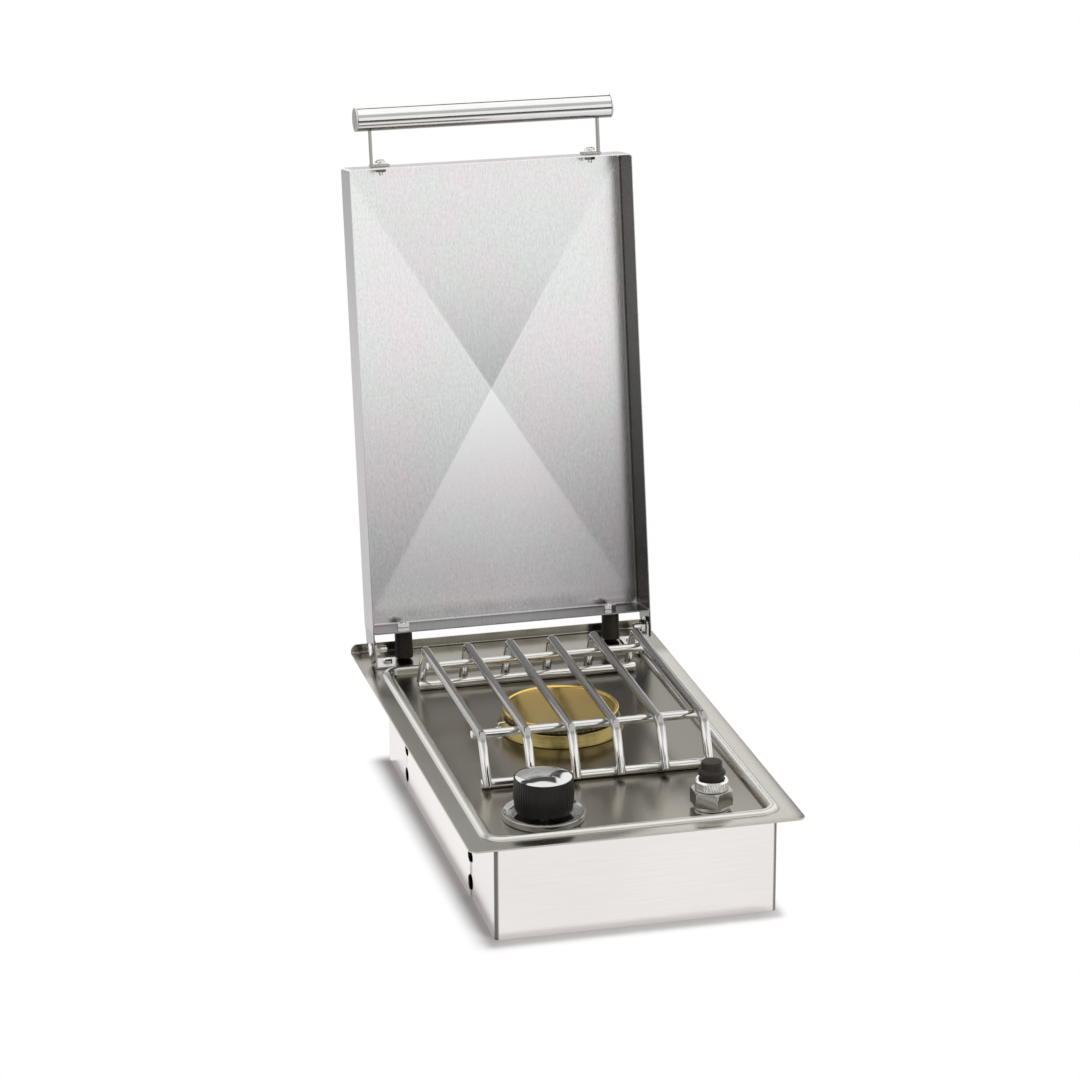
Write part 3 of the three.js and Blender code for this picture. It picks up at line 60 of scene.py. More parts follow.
# The studio: a wide pale paper floor that keeps the shadow close to the casing and runs out to plain white,
# a white surround whose few darker parts are seen only in bright metal, and two soft lamps.
class Tone:
    """A socket of a finish's nodes. Sums, differences and products of tones add Math nodes for them."""

    def __init__(self, tree, socket):
        self.tree = tree
        self.socket = socket

    def node(self, kind, settings=None, values=None, out=0):
        """Adds a node: its settings first, then the values or links of its inputs; gives one output."""
        made = self.tree.nodes.new(kind)
        for name, setting in (settings or {}).items():
            setattr(made, name, setting)
        for name, value in (values or {}).items():
            if isinstance(value, Tone):
                self.tree.links.new(value.socket, made.inputs[name])
            else:
                made.inputs[name].default_value = value
        return Tone(self.tree, made.outputs[out])

    def beside(self, out):
        """Another output of the node that gives this tone."""
        return Tone(self.tree, self.socket.node.outputs[out])

    def maths(self, operation, first, second=0.0):
        return self.node("ShaderNodeMath", {"operation": operation}, {0: first, 1: second})

    def vector(self, operation, other=(0.0, 0.0, 0.0), out=0):
        """Vector Math on this vector and another."""
        return self.node("ShaderNodeVectorMath", {"operation": operation}, {0: self, 1: other}, out)

    def __add__(self, other):
        return self.maths("ADD", self, other)

    def __radd__(self, other):
        return self.maths("ADD", other, self)

    def __sub__(self, other):
        return self.maths("SUBTRACT", self, other)

    def __rsub__(self, other):
        return self.maths("SUBTRACT", other, self)

    def __mul__(self, other):
        return self.maths("MULTIPLY", self, other)

    def __rmul__(self, other):
        return self.maths("MULTIPLY", other, self)

    def __abs__(self):
        return self.maths("ABSOLUTE", self)

    def larger(self, other):
        """The larger of two tones."""
        return self.maths("MAXIMUM", self, other)

    def between(self, low, high):
        """0 below low, 1 above high, a smooth slope from one to the other."""
        values = {0: self, 1: low, 2: high, 3: 0.0, 4: 1.0}
        return self.node("ShaderNodeMapRange", {"interpolation_type": "SMOOTHSTEP"}, values)

    def shade(self, low, high):
        """The colour low where this tone is 0, the colour high where it is 1."""
        ends = [end if isinstance(end, Tone) else (*end, 1.0) for end in (low, high)]
        return self.node("ShaderNodeMix", {"data_type": "RGBA"}, {0: self, 6: ends[0], 7: ends[1]}, 2)


world = bpy.data.worlds.new("studio")
bpy.context.scene.world = world
world.use_nodes = True
sky = world.node_tree
sky.nodes.clear()
ray = Tone(sky, sky.nodes.new("ShaderNodeLightPath").outputs["Is Camera Ray"])
glossy = ray.beside("Is Glossy Ray")
through = ray.beside("Is Transmission Ray")
towards = ray.node("ShaderNodeTexCoord", out="Generated")
height = towards.node("ShaderNodeSeparateXYZ", values={0: towards}, out="Z")
onward, across = height.beside("Y"), height.beside("X")

# Darker parts: high up at the front, a patch behind the camera, and two black flags above the rear
mirrored_light, soft_light = 1.13, 0.42
front_dimming, patch_dimming, flag_dimming = 0.54, 0.66, 0.92
patch_way = (-0.305, -0.947, 0.102)
patch = towards.vector("DOT_PRODUCT", patch_way, "Value").between(0.92, 0.972)
front = height.between(0.35, 0.52) * (1.0 - height.between(0.74, 0.88))
front = front * (1.0 - onward.between(-0.55, -0.3))
rear_flag = height.between(0.62, 0.66) * (1.0 - height.between(0.8, 0.84))
rear_flag = rear_flag * (1.0 - across.between(0.33, 0.38))
side_flag = (across + height * 0.1).between(0.365, 0.385) * (1.0 - across.between(0.4, 0.43))
side_flag = side_flag * (1.0 - height.between(0.6, 0.66))
flags = rear_flag.larger(side_flag) * onward.between(0.1, 0.3)
surround = (mirrored_light - front_dimming * front) * (1.0 - patch_dimming * patch)
surround = surround * (1.0 - flag_dimming * flags)
seen = ray.larger(through)
strength = seen + (1.0 - seen) * (glossy * surround + (1.0 - glossy) * soft_light)
glow = ray.node("ShaderNodeBackground", values={"Color": (1.0, 1.0, 1.0, 1.0), "Strength": strength})
dome = sky.nodes.new("ShaderNodeOutputWorld")
sky.links.new(glow.socket, dome.inputs["Surface"])

floor_reach = 30.0
floor_mesh = bpy.data.meshes.new("studio_floor")
floor_corners = [(x * floor_reach, y * floor_reach, 0.0) for x, y in ((-1, -1), (1, -1), (1, 1), (-1, 1))]
floor_mesh.from_pydata(floor_corners, [], [(0, 1, 2, 3)])
studio_floor = bpy.data.objects.new("studio_floor", floor_mesh)
bpy.context.scene.collection.objects.link(studio_floor)
paper = bpy.data.materials.new("pale_paper")
paper.use_nodes = True
paper.node_tree.nodes.clear()
spot = Tone(paper.node_tree, paper.node_tree.nodes.new("ShaderNodeTexCoord").outputs["Object"])
sight = spot.node("ShaderNodeLightPath")
mirrored = sight.beside("Is Glossy Ray")

# How far a spot lies from the casing's footprint, which is shifted a little towards the shadow
footprint_half, footprint_shift = (0.123, 0.212, 0.0), (0.003, 0.01, 0.0)
shadow_reach, contact_reach, mirror_fade = 0.022, 0.013, (0.25, 0.55)
beyond = spot.vector("ADD", footprint_shift).vector("ABSOLUTE").vector("SUBTRACT", footprint_half)
distance = beyond.vector("MAXIMUM").vector("LENGTH", out="Value")
along = spot.node("ShaderNodeSeparateXYZ", values={0: spot}, out="Y")
near = along.between(-1.6, -0.5)
# To glossy rays the paper far off is painted dark grey: painted shade for bright metal to mirror.
far = mirrored * (1.0 - near)
# Close to the casing the paper is painted darker: a painted contact shadow.
painted_contact_shadow = sight * (1.0 - distance.between(0.0, contact_reach))
paper_tone = far.shade((0.93, 0.915, 0.925), (0.14, 0.14, 0.14))
paper_tone = (painted_contact_shadow * 0.6).shade(paper_tone, (0.42, 0.4, 0.4))
matt = spot.node("ShaderNodeBsdfPrincipled", values={"Base Color": paper_tone, "Roughness": 1.0})
matt.socket.node.inputs["Specular IOR Level"].default_value = 0.0
white = spot.node("ShaderNodeEmission", values={"Color": (1.0, 1.0, 1.0, 1.0), "Strength": 1.0})
away = distance.between(0.0, shadow_reach) * sight
# To glossy rays the paper from a few millimetres off the casing to about half a metre glows plain white:
# painted light that keeps the shadow out of what the metal mirrors.
lit = near * distance.between(0.0, 0.006) * (1.0 - distance.between(*mirror_fade))
away = away.larger(mirrored * lit)
surface = spot.node("ShaderNodeMixShader", values={0: away, 1: matt, 2: white})
sheet = paper.node_tree.nodes.new("ShaderNodeOutputMaterial")
paper.node_tree.links.new(surface.socket, sheet.inputs["Surface"])
floor_mesh.materials.append(paper)

lamp_target = np.array([0.0, 0.0, 0.15])
for name, place, size, power in (
    ("overhead_softbox", (0.6, 0.1, 2.3), 1.1, 42.0),
    ("front_softbox", (1.2, -2.2, 1.9), 1.4, 38.0),
):
    lamp = bpy.data.lights.new(name, "AREA")
    lamp.size = size
    lamp.energy = power
    holder = bpy.data.objects.new(name, lamp)
    holder.visible_glossy = False
    aim = lamp_target - np.array(place)
    back = -aim / np.linalg.norm(aim)
    side = np.cross([0.0, 1.0, 0.001], back)
    side /= np.linalg.norm(side)
    pose = np.eye(4)
    pose[:3, 0], pose[:3, 1], pose[:3, 2], pose[:3, 3] = side, np.cross(back, side), back, place
    holder.matrix_world = Matrix(pose.tolist())
    bpy.context.scene.collection.objects.link(holder)


# The top: one pressed sheet of stainless steel with a flat strip, a raised bead, a short wall and a floor.
# A separate run of the same sheet turns up at the rear behind the lid.
counter_place = np.array([0.0, -222.175, 85.7])
flange_width, flange_depth, flange_sheet = 292.0, 494.0, 1.5
strip, rear_strip, bead_width, bead_height, wall_run, floor_drop = 16.0, 50.0, 10.0, 3.0, 1.5, 3.0
corner_radius, rear_corner_radius, bead_corner_radius = 8.0, 2.0, 19.0
lip_height, lip_corner, lip_start = 8.6, 7.0, 490.0


def skin(name, grid, ring=False, wrap=True, sharp=38.0):
    """Mesh through a grid of points in millimetres, rows by columns. Columns close on themselves with
    wrap and rows with ring; points that fall together are merged, and the faces are turned outwards."""
    rows, columns = grid.shape[:2]
    index = np.arange(rows * columns).reshape(rows, columns)
    if ring:
        index = np.vstack([index, index[:1]])
    if wrap:
        index = np.hstack([index, index[:, :1]])
    quads = np.stack([index[:-1, :-1], index[:-1, 1:], index[1:, 1:], index[1:, :-1]], -1).reshape(-1, 4)
    mesh = bpy.data.meshes.new(name)
    mesh.from_pydata(((grid.reshape(-1, 3) + counter_place) * 0.001).tolist(), [], quads.tolist())
    shell = bmesh.new()
    shell.from_mesh(mesh)
    bmesh.ops.remove_doubles(shell, verts=shell.verts, dist=2e-6)
    bmesh.ops.recalc_face_normals(shell, faces=shell.faces)
    shell.to_mesh(mesh)
    shell.free()
    mesh.polygons.foreach_set("use_smooth", np.ones(len(mesh.polygons), bool))
    mesh.set_sharp_from_angle(angle=np.radians(sharp))
    piece = bpy.data.objects.new(name, mesh)
    bpy.context.scene.collection.objects.link(piece)
    return piece


def softened(points, spread, step):
    """A polyline walked in even steps, each coordinate then averaged over its neighbours, ends kept."""
    points = np.asarray(points, float)
    walked = np.concatenate([[0.0], np.cumsum(np.linalg.norm(np.diff(points, axis=0), axis=1))])
    places = np.linspace(0.0, walked[-1], int(walked[-1] / step) + 1)
    line = np.stack([np.interp(places, walked, column) for column in points.T], -1)
    reach = int(round(spread / step))
    weights = np.hanning(2 * reach + 3)[1:-1]
    padded = np.concatenate([np.repeat(line[:1], reach, 0), line, np.repeat(line[-1:], reach, 0)])
    smooth = [np.convolve(column, weights / weights.sum(), "valid") for column in padded.T]
    return np.stack(smooth, -1)


def rounded_frame(low_x, high_x, low_y, high_y, front_radius, rear_radius, steps=12):
    """Points round a rectangle with arcs for corners, from arrays of its sides, rows by points."""
    quarter = np.linspace(0.0, np.pi / 2, steps + 1)
    parts = []
    for number, (x, y, radius, sx, sy) in enumerate((
        (high_x, high_y, rear_radius, -1, -1), (low_x, high_y, rear_radius, 1, -1),
        (low_x, low_y, front_radius, 1, 1), (high_x, low_y, front_radius, -1, 1),
    )):
        angle = quarter + number * np.pi / 2
        across = (x + sx * radius)[:, None] + radius[:, None] * np.cos(angle)
        along = (y + sy * radius)[:, None] + radius[:, None] * np.sin(angle)
        parts.append(np.stack([across, along], -1))
    return np.concatenate(parts, 1)


# Half section of the sheet as inset from the edge and height, its corners softened as pressed steel has them
bead_radius = (bead_width ** 2 / 4 + bead_height ** 2) / (2 * bead_height)
bead_angle = np.linspace(-1.0, 1.0, 15) * np.arcsin(bead_width / 2 / bead_radius)
bead = np.stack([strip + bead_width / 2 + bead_radius * np.sin(bead_angle),
                 bead_height - bead_radius + bead_radius * np.cos(bead_angle)], -1)
wall_foot = strip + bead_width + wall_run
section = softened([(10.0, 0.0), *bead, (wall_foot, -floor_drop), (wall_foot + 6.0, -floor_drop)], 1.0, 0.35)
edge = flange_sheet / 2
roll_angle = np.linspace(np.pi, np.pi / 2, 5)
edge_roll = np.stack([edge + edge * np.cos(roll_angle), edge * np.sin(roll_angle) - edge], -1)
section = np.concatenate([edge_roll, section])
under = section[::-1] - [0.0, flange_sheet]
under[-5:] = np.stack([edge + edge * np.cos(roll_angle), -edge - edge * np.sin(roll_angle)], -1)[::-1]
closed_section = np.concatenate([section, under])
inset, level_z = closed_section.T
half_width = flange_width / 2 - inset
settle_start, settle_run = 8.0, 8.0
settled = np.clip((inset - settle_start) / settle_run, 0.0, 1.0)
rear_setback = rear_strip - strip - (flange_depth - lip_start)
rear_side = lip_start - inset * (1 - settled) - settled * (inset + rear_setback)
bead_corner = bead_corner_radius + strip - inset
front_corner = corner_radius - inset * (1 - settled) + settled * (bead_corner - corner_radius)
rear_corner = rear_corner_radius + settled * (bead_corner - rear_corner_radius)
outline = rounded_frame(-half_width, half_width, inset, rear_side, front_corner, rear_corner)
sheet_grid = np.concatenate([outline, np.repeat(level_z[:, None, None], outline.shape[1], 1)], -1)
top_rows = len(section)
floor_middle = np.array([0.0, 230.0])
inward = np.linspace(1.0, 0.0, 5)[1:]


def shrunk(row, height):
    """Rings that run from one ring of points to the middle of the floor at one height."""
    rings = floor_middle + (row[None, :, :2] - floor_middle) * inward[:, None, None]
    return np.concatenate([rings, np.full((*rings.shape[:2], 1), height)], -1)


upper, lower = sheet_grid[:top_rows], sheet_grid[top_rows:]
pan_grid = np.concatenate([
    shrunk(upper[-1], -floor_drop)[::-1], upper[::-1],
    lower[::-1], shrunk(lower[0], -floor_drop - flange_sheet),
])
pressed_top = skin("pressed_top", pan_grid, sharp=30.0)

lip_corner_angle = np.linspace(0.0, np.pi / 2, 9)
lip_path = softened([(lip_start, 0.0), (flange_depth - flange_sheet, 0.0),
                     (flange_depth - flange_sheet, lip_height)], 1.2, 0.4)
lip_normal = np.gradient(lip_path, axis=0)
lip_normal = np.stack([lip_normal[:, 1], -lip_normal[:, 0]], -1)
lip_normal /= np.linalg.norm(lip_normal, axis=1)[:, None]
lip_outer = lip_path + lip_normal * flange_sheet
lip_loop = np.concatenate([lip_path, lip_outer[::-1]])
lip_across = np.concatenate([-flange_width / 2 + lip_corner * (1 - np.cos(lip_corner_angle)),
                             flange_width / 2 - lip_corner * (1 - np.cos(lip_corner_angle[::-1]))])
lip_top = lip_height - lip_corner + lip_corner * np.concatenate(
    [np.sin(lip_corner_angle), np.sin(lip_corner_angle[::-1])])
lip_grid = np.zeros((len(lip_across), len(lip_loop), 3))
lip_grid[..., 0] = lip_across[:, None]
lip_grid[..., 1] = lip_loop[None, :, 0]
lip_grid[..., 2] = np.minimum(lip_loop[None, :, 1], lip_top[:, None])
end_caps = [lip_grid[:1].mean(1, keepdims=True).repeat(len(lip_loop), 1),
            lip_grid[-1:].mean(1, keepdims=True).repeat(len(lip_loop), 1)]
pan_lip = skin("pan_lip", np.concatenate([end_caps[0], lip_grid, end_caps[1]]))


def start_finish(name):
    """A new material: gives it, its shader and the tone of Object coordinates."""
    material = bpy.data.materials.new(name)
    material.use_nodes = True
    tree = material.node_tree
    place = Tone(tree, tree.nodes.new("ShaderNodeTexCoord").outputs["Object"])
    return material, tree.nodes["Principled BSDF"], place


def feed(shader, **inputs):
    """Links tones to the shader's inputs, or sets them, by name with _ for a space."""
    for name, value in inputs.items():
        socket = shader.inputs[name.replace("_", " ")]
        if isinstance(value, Tone):
            value.tree.links.new(value.socket, socket)
        else:
            socket.default_value = value


def cloud(place, scale, detail=2.0, grain=(1.0, 1.0, 1.0)):
    """Noise from 0 to 1, so many blobs a metre, drawn out by grain."""
    drawn = place.node("ShaderNodeMapping", values={"Vector": place, "Scale": grain})
    return drawn.node("ShaderNodeTexNoise", values={"Vector": drawn, "Scale": scale, "Detail": detail})


def dented(height, strength, distance=0.0004):
    """A normal with small dents, as deep as the height tone says, times strength."""
    values = {"Strength": strength, "Distance": distance, "Height": height}
    return height.node("ShaderNodeBump", values=values)


def mingled(first, second, share):
    """Two noises in one tone, the first with that share, spread so that it runs from 0 to 1."""
    return (first * share + second * (1.0 - share)).between(0.3, 0.7)


def brushed_steel(name, dark, light, roughness, grain, depth=0.04):
    """Steel with fine scratches along one axis: noise drawn out along it tints, roughens and dents it."""
    material, shader, place = start_finish(name)
    scratch = cloud(place, 1.0, 3.0, grain)
    patch = cloud(place, 9.0)
    tint = mingled(scratch, patch, 0.7).shade(dark, light)
    rough = roughness + (scratch - 0.5) * 0.14 + (patch - 0.5) * 0.08
    feed(shader, Base_Color=tint, Roughness=rough, Metallic=1.0, Normal=dented(scratch, depth))
    return material


def dress(material, *pieces):
    """Gives pieces, or CAD nodes by name, one finish."""
    for piece in pieces:
        mesh = (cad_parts[piece] if isinstance(piece, str) else piece).data
        mesh.materials.clear()
        mesh.materials.append(material)


def put(piece, body, slot, *nodes):
    """The piece rides on a body and stands for the CAD nodes named. The slot is not used."""
    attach(piece, body)
    if nodes:
        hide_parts(*nodes)


strip_level = counter_place[2] * 0.001


def pressed_steel(name, strip_tones, floor_tones, crest, roughness):
    """Pan steel with fine scratches. Painted shade and highlight by height: the recessed floor is darker than
    the strip and the bead's crest brighter. Painted shade and reflection besides: the floor is darker to the
    right and lighter at the front, the strip darker under the lid."""
    material, shader, place = start_finish(name)
    scratch = cloud(place, 1.0, 3.0, (900.0, 24.0, 60.0))
    patch = cloud(place, 9.0)
    mixed = mingled(scratch, patch, 0.5)
    height = place.node("ShaderNodeSeparateXYZ", values={0: place}, out="Z")
    across, along = height.beside("X"), height.beside("Y")
    # Painted by height: the recessed floor darker (painted shade), the bead's crest lighter (a painted
    # highlight).
    shaded_floor_mask = 1.0 - height.between(strip_level - 0.0029, strip_level - 0.0009)
    crest_highlight_mask = height.between(strip_level + 0.0009, strip_level + 0.0023)
    # More painted shade and reflection: the floor darker to the right and lighter at the front, the strip
    # darker under the lid.
    shaded_floor_tone = (across.between(-0.08, 0.12) * 0.72).shade(mixed.shade(*floor_tones), (0.138, 0.126, 0.1))
    shaded_floor_tone = ((1.0 - along.between(-0.19, -0.1)) * 0.35).shade(shaded_floor_tone, (0.45, 0.425, 0.36))
    strip_tone = (along.between(0.19, 0.215) * 0.75).shade(mixed.shade(*strip_tones), (0.23, 0.215, 0.175))
    tint = (crest_highlight_mask * 0.9).shade(shaded_floor_mask.shade(strip_tone, shaded_floor_tone), crest)
    rough = roughness + (scratch - 0.5) * 0.08 + (patch - 0.5) * 0.05 + crest_highlight_mask * 0.1
    feed(shader, Base_Color=tint, Roughness=rough, Metallic=1.0, Normal=dented(scratch, 0.012))
    return material


# The floor tones are painted darker than the strip's, and the crest tone is a painted highlight.
pressed_sheet = pressed_steel("pressed_sheet", ((0.5, 0.48, 0.43), (0.57, 0.55, 0.5)),
                              ((0.348, 0.323, 0.272), (0.403, 0.378, 0.325)), (0.8, 0.785, 0.745), 0.22)
polished_sheet = brushed_steel("polished_sheet", (0.52, 0.495, 0.44), (0.58, 0.555, 0.5), 0.13,
                               (900.0, 20.0, 60.0), 0.01)
dress(pressed_sheet, pressed_top)
dress(polished_sheet, pan_lip)
put(pressed_top, "housing", "pan_steel", "top_pan")
put(pan_lip, "housing", "pan_steel")


# The casing: bent sheets of brushed steel under the flange, which meet at two seams a side with oval
# openings. Its sheets, the small brackets and the gas parts inside keep their CAD meshes.
level_grain = (40.0, 40.0, 1400.0)
casing_sheet = brushed_steel("casing_sheet", (0.87, 0.835, 0.81), (0.93, 0.895, 0.87), 0.2, level_grain)
casing_half, casing_half_length = 0.1228, 0.212425


def bent_sheet(name, dark, light, roughness):
    """Casing steel with fine level grain, painted near black along the upright bends at the four corners,
    a painted dark reflection.
    """
    material, shader, place = start_finish(name)
    scratch = cloud(place, 1.0, 3.0, level_grain)
    patch = cloud(place, 7.0)
    inward = place.vector("ABSOLUTE").vector("SUBTRACT", (casing_half, casing_half_length, 0.0))
    reach = inward.vector("MULTIPLY", (1.0, 1.0, 0.0)).vector("LENGTH", out="Value")
    # The upright bends are painted near black: a painted dark reflection.
    bend_shade = 1.0 - reach.between(0.002, 0.004)
    tint = mingled(scratch, patch, 0.4).shade(dark, light)
    tint = (bend_shade * 0.9).shade(tint, (0.06, 0.055, 0.05))
    rough = roughness + (scratch - 0.5) * 0.1 + (patch - 0.5) * 0.08
    metallic = 1.0 - bend_shade * 0.8
    feed(shader, Base_Color=tint, Roughness=rough, Metallic=metallic, Normal=dented(scratch, 0.02))
    return material


corner_sheet = bent_sheet("corner_sheet", (0.81, 0.775, 0.76), (0.87, 0.835, 0.82), 0.2)
dress(casing_sheet, "casing_left", "casing_right", "casing_bottom")
dress(corner_sheet, "casing_front", "casing_rear")
upright_grain = (300.0, 300.0, 60.0)
strip_steel = brushed_steel("strip_steel", (0.62, 0.61, 0.59), (0.72, 0.71, 0.69), 0.28, upright_grain)
dress(strip_steel, "hinge_bracket_left", "hinge_bracket_right")
dress(strip_steel, "air_shutter", "electrode_bracket", "valve_spindle")
strap_steel = brushed_steel("strap_steel", (0.36, 0.36, 0.32), (0.48, 0.48, 0.44), 0.25, upright_grain)
dress(strap_steel, "handle_bracket_left", "handle_bracket_right")


def cast_metal(name, dark, light, roughness, metallic, depth, gloss=0.5):
    """Cast, moulded or fired surface: a fine even grain over slow patches, dented by depth."""
    material, shader, place = start_finish(name)
    grain = cloud(place, 900.0, 3.0)
    patch = cloud(place, 40.0)
    tint = mingled(grain, patch, 0.4).shade(dark, light)
    rough = roughness + (grain - 0.5) * 0.16 + (patch - 0.5) * 0.1
    dents = dented(grain, depth, 0.0003)
    feed(shader, Base_Color=tint, Roughness=rough, Metallic=metallic, Normal=dents, Specular_IOR_Level=gloss)
    return material


cast_aluminium = cast_metal("cast_aluminium", (0.48, 0.48, 0.47), (0.58, 0.58, 0.57), 0.5, 1.0, 0.3)
dress(cast_aluminium, "gas_valve_body", "burner_venturi")
fitting_brass = cast_metal("fitting_brass", (0.55, 0.42, 0.18), (0.68, 0.55, 0.28), 0.28, 1.0, 0.05)
dress(fitting_brass, "gas_jet", "gas_inlet_fitting")
black_rubber = cast_metal("black_rubber", (0.009, 0.007, 0.004), (0.031, 0.025, 0.016), 0.5, 0.0, 0.5, 0.27)
dress(black_rubber, "ignition_lead")
black_plastic = cast_metal("black_plastic", (0.003, 0.0025, 0.002), (0.008, 0.007, 0.005),
                           0.3, 0.0, 0.15, 0.28)
dress(black_plastic, "igniter_body")
glazed_ceramic = cast_metal("glazed_ceramic", (0.76, 0.72, 0.64), (0.86, 0.83, 0.76), 0.3, 0.0, 0.03)


# The burner: a cast brass base, a dark ring with the flame ports and a dished brass cap with a thin rim.
# Each part is turned, and the electrode stands beside it in a ceramic sleeve.
burner_centre = (0.0, 267.3)
base_profile = [(9.7, -27.0, 0), (14.0, -27.0, 0.8), (14.0, -2.7, 0), (57.0, -2.7, 0.6), (56.3, -0.4, 0.8),
                (53.0, 8.0, 0.9), (46.0, 8.0, 0.6), (46.0, 0.0, 1.5), (9.7, 0.0, 0.8)]
ring_profile = [(42.0, 8.3, 0.3), (50.0, 8.3, 0.4), (50.0, 12.9, 0.4), (42.0, 12.9, 0.3)]
cap_profile = [(0.0, 13.2, 0), (38.2, 13.2, 0.3), (38.2, 9.2, 0.4), (41.7, 9.2, 0.4), (41.7, 13.2, 0.3),
               (51.3, 13.2, 0.3), (52.3, 14.4, 0.6), (52.3, 16.6, 0.7), (51.5, 17.2, 0.35), (50.6, 17.1, 0.3),
               (49.4, 15.9, 0.8), (0.0, 15.2, 0)]
port_total, port_depth, port_foot, port_wall = 56, 1.9, 9.2, 46.0


def filleted(corners, closed=False, steps=5):
    """Profile through corners (across, height, fillet): each fillet is a parabola between the two points
    that lie that far from the corner on its sides, at most 0.48 of the shorter side."""
    corners = np.asarray(corners, float)
    t = np.linspace(0.0, 1.0, steps + 1)[:, None]
    line = []
    for i, (x, y, fillet) in enumerate(corners):
        here = np.array([x, y])
        inner = closed or 0 < i < len(corners) - 1
        if not inner or fillet == 0:
            line.append(here[None])
            continue
        before, after = corners[i - 1, :2] - here, corners[(i + 1) % len(corners), :2] - here
        reach_in, reach_out = np.linalg.norm(before), np.linalg.norm(after)
        set_back = min(fillet, 0.48 * reach_in, 0.48 * reach_out)
        first, last = here + before / reach_in * set_back, here + after / reach_out * set_back
        line.append((1 - t) ** 2 * first + 2 * t * (1 - t) * here + t ** 2 * last)
    return np.concatenate(line)


def upright(centre):
    """Place of a piece turned about an upright axis."""
    return lambda points: points + np.array([centre[0], centre[1], 0.0])


def turned(name, corners, place, sides=96, closed=False, trim=None, sharp=38.0):
    """Surface of revolution: a profile of radius and height carried round; trim(angle, height, radius)
    gives the radius where the piece isn't round."""
    radius, height = filleted(corners, closed).T
    angle = np.linspace(0.0, 2 * np.pi, sides, endpoint=False)[None, :]
    reach = np.repeat(radius[:, None], sides, 1)
    if trim:
        reach = trim(angle, height[:, None], reach)
    grid = np.stack([reach * np.cos(angle), reach * np.sin(angle), height[:, None] + 0 * angle], -1)
    return skin(name, place(grid), ring=closed, sharp=sharp)


def ported(angle, height, radius):
    """Flame ports: above their foot, the outer wall steps in over about half of each equal share of the
    turn."""
    share = (angle * port_total / (2 * np.pi)) % 1.0
    notch = (np.abs(share - 0.5) < 0.27) * (height > port_foot)
    return radius - port_depth * notch * (radius > port_wall)


brass_base = turned("brass_base", base_profile, upright(burner_centre), 144, closed=True)
port_ring = turned("port_ring", ring_profile, upright(burner_centre), port_total * 6, True, ported, 30.0)
brass_cap = turned("brass_cap", cap_profile, upright(burner_centre), 144)


def turned_brass(name, dark, light, rim_shade_tone, roughness):
    """Satin brass with fine rings round the burner's axis, rougher towards the rim and painted browner there,
    a painted dark reflection.
    """
    material, shader, place = start_finish(name)
    centre = (-burner_centre[0] * 0.001, -(burner_centre[1] + counter_place[1]) * 0.001, 0.0)
    flattened = {"Vector": place, "Location": centre, "Scale": (1.0, 1.0, 0.0)}
    about = place.node("ShaderNodeMapping", values=flattened)
    radius = about.vector("LENGTH", out="Value")
    turning_marks = {"W": radius, "Scale": 1800.0, "Detail": 2.0}
    rings = radius.node("ShaderNodeTexNoise", {"noise_dimensions": "1D"}, turning_marks)
    patch = cloud(place, 30.0, 3.0)
    tint = mingled(rings, patch, 0.5).shade(dark, light)
    # Towards the rim the brass is painted browner, a painted dark reflection; it is also rougher there.
    rim_shade = (radius + (patch - 0.5) * 0.01).between(0.046, 0.056)
    tint = (rim_shade * 0.45).shade(tint, rim_shade_tone)
    rough = roughness + (rings - 0.5) * 0.12 + rim_shade * 0.08
    feed(shader, Base_Color=tint, Roughness=rough, Metallic=1.0, Normal=dented(rings, 0.05, 0.0003))
    return material


satin_brass = turned_brass("satin_brass", (0.78, 0.545, 0.14), (0.88, 0.655, 0.205), (0.57, 0.4, 0.1), 0.14)
# The base takes a darker copy of the cap's brass: painted shade.
shaded_brass = turned_brass("shaded_brass", (0.34, 0.27, 0.1), (0.46, 0.37, 0.15), (0.24, 0.18, 0.065), 0.18)
dress(satin_brass, brass_cap)
dress(shaded_brass, brass_base)
burnt_iron = cast_metal("burnt_iron", (0.1, 0.08, 0.045), (0.2, 0.16, 0.09), 0.5, 0.8, 0.4)
dress(burnt_iron, port_ring)
put(brass_base, "housing", "burner_brass", "burner_base")
put(port_ring, "housing", "burner_iron", "burner_port_ring")
put(brass_cap, "housing", "burner_brass", "burner_cap")


def mirror_metal(name, dark, light, roughness):
    """Plated or polished metal: near mirror, with faint smears that dull it in patches."""
    material, shader, place = start_finish(name)
    smear = cloud(place, 60.0, 4.0)
    fine = cloud(place, 1400.0)
    rough = roughness + smear.between(0.45, 0.75) * 0.08 + (fine - 0.5) * 0.03
    feed(shader, Base_Color=smear.shade(dark, light), Roughness=rough, Metallic=1.0)
    return material


bright_plate = mirror_metal("bright_plate", (0.8, 0.79, 0.77), (0.88, 0.87, 0.85), 0.12)
base_radius, sleeve_gap, sleeve_radius = 57.0, 1.6, 2.8
electrode_angle = np.radians(192.0)
electrode_reach = base_radius + sleeve_gap + sleeve_radius
electrode_spot = (burner_centre[0] + electrode_reach * np.cos(electrode_angle),
                  burner_centre[1] + electrode_reach * np.sin(electrode_angle))
sleeve_profile = [(0.0, -25.0, 0), (2.8, -25.0, 0.3), (2.8, -9.1, 0), (4.2, -9.1, 0.5), (4.2, -6.3, 0.5),
                  (2.8, -6.3, 0), (2.8, 6.5, 0.6), (0.0, 6.5, 0)]
electrode_sleeve = turned("electrode_sleeve", sleeve_profile, upright(electrode_spot), 40)
dress(glazed_ceramic, electrode_sleeve)
put(electrode_sleeve, "housing", "white_ceramic", "electrode_ceramic")


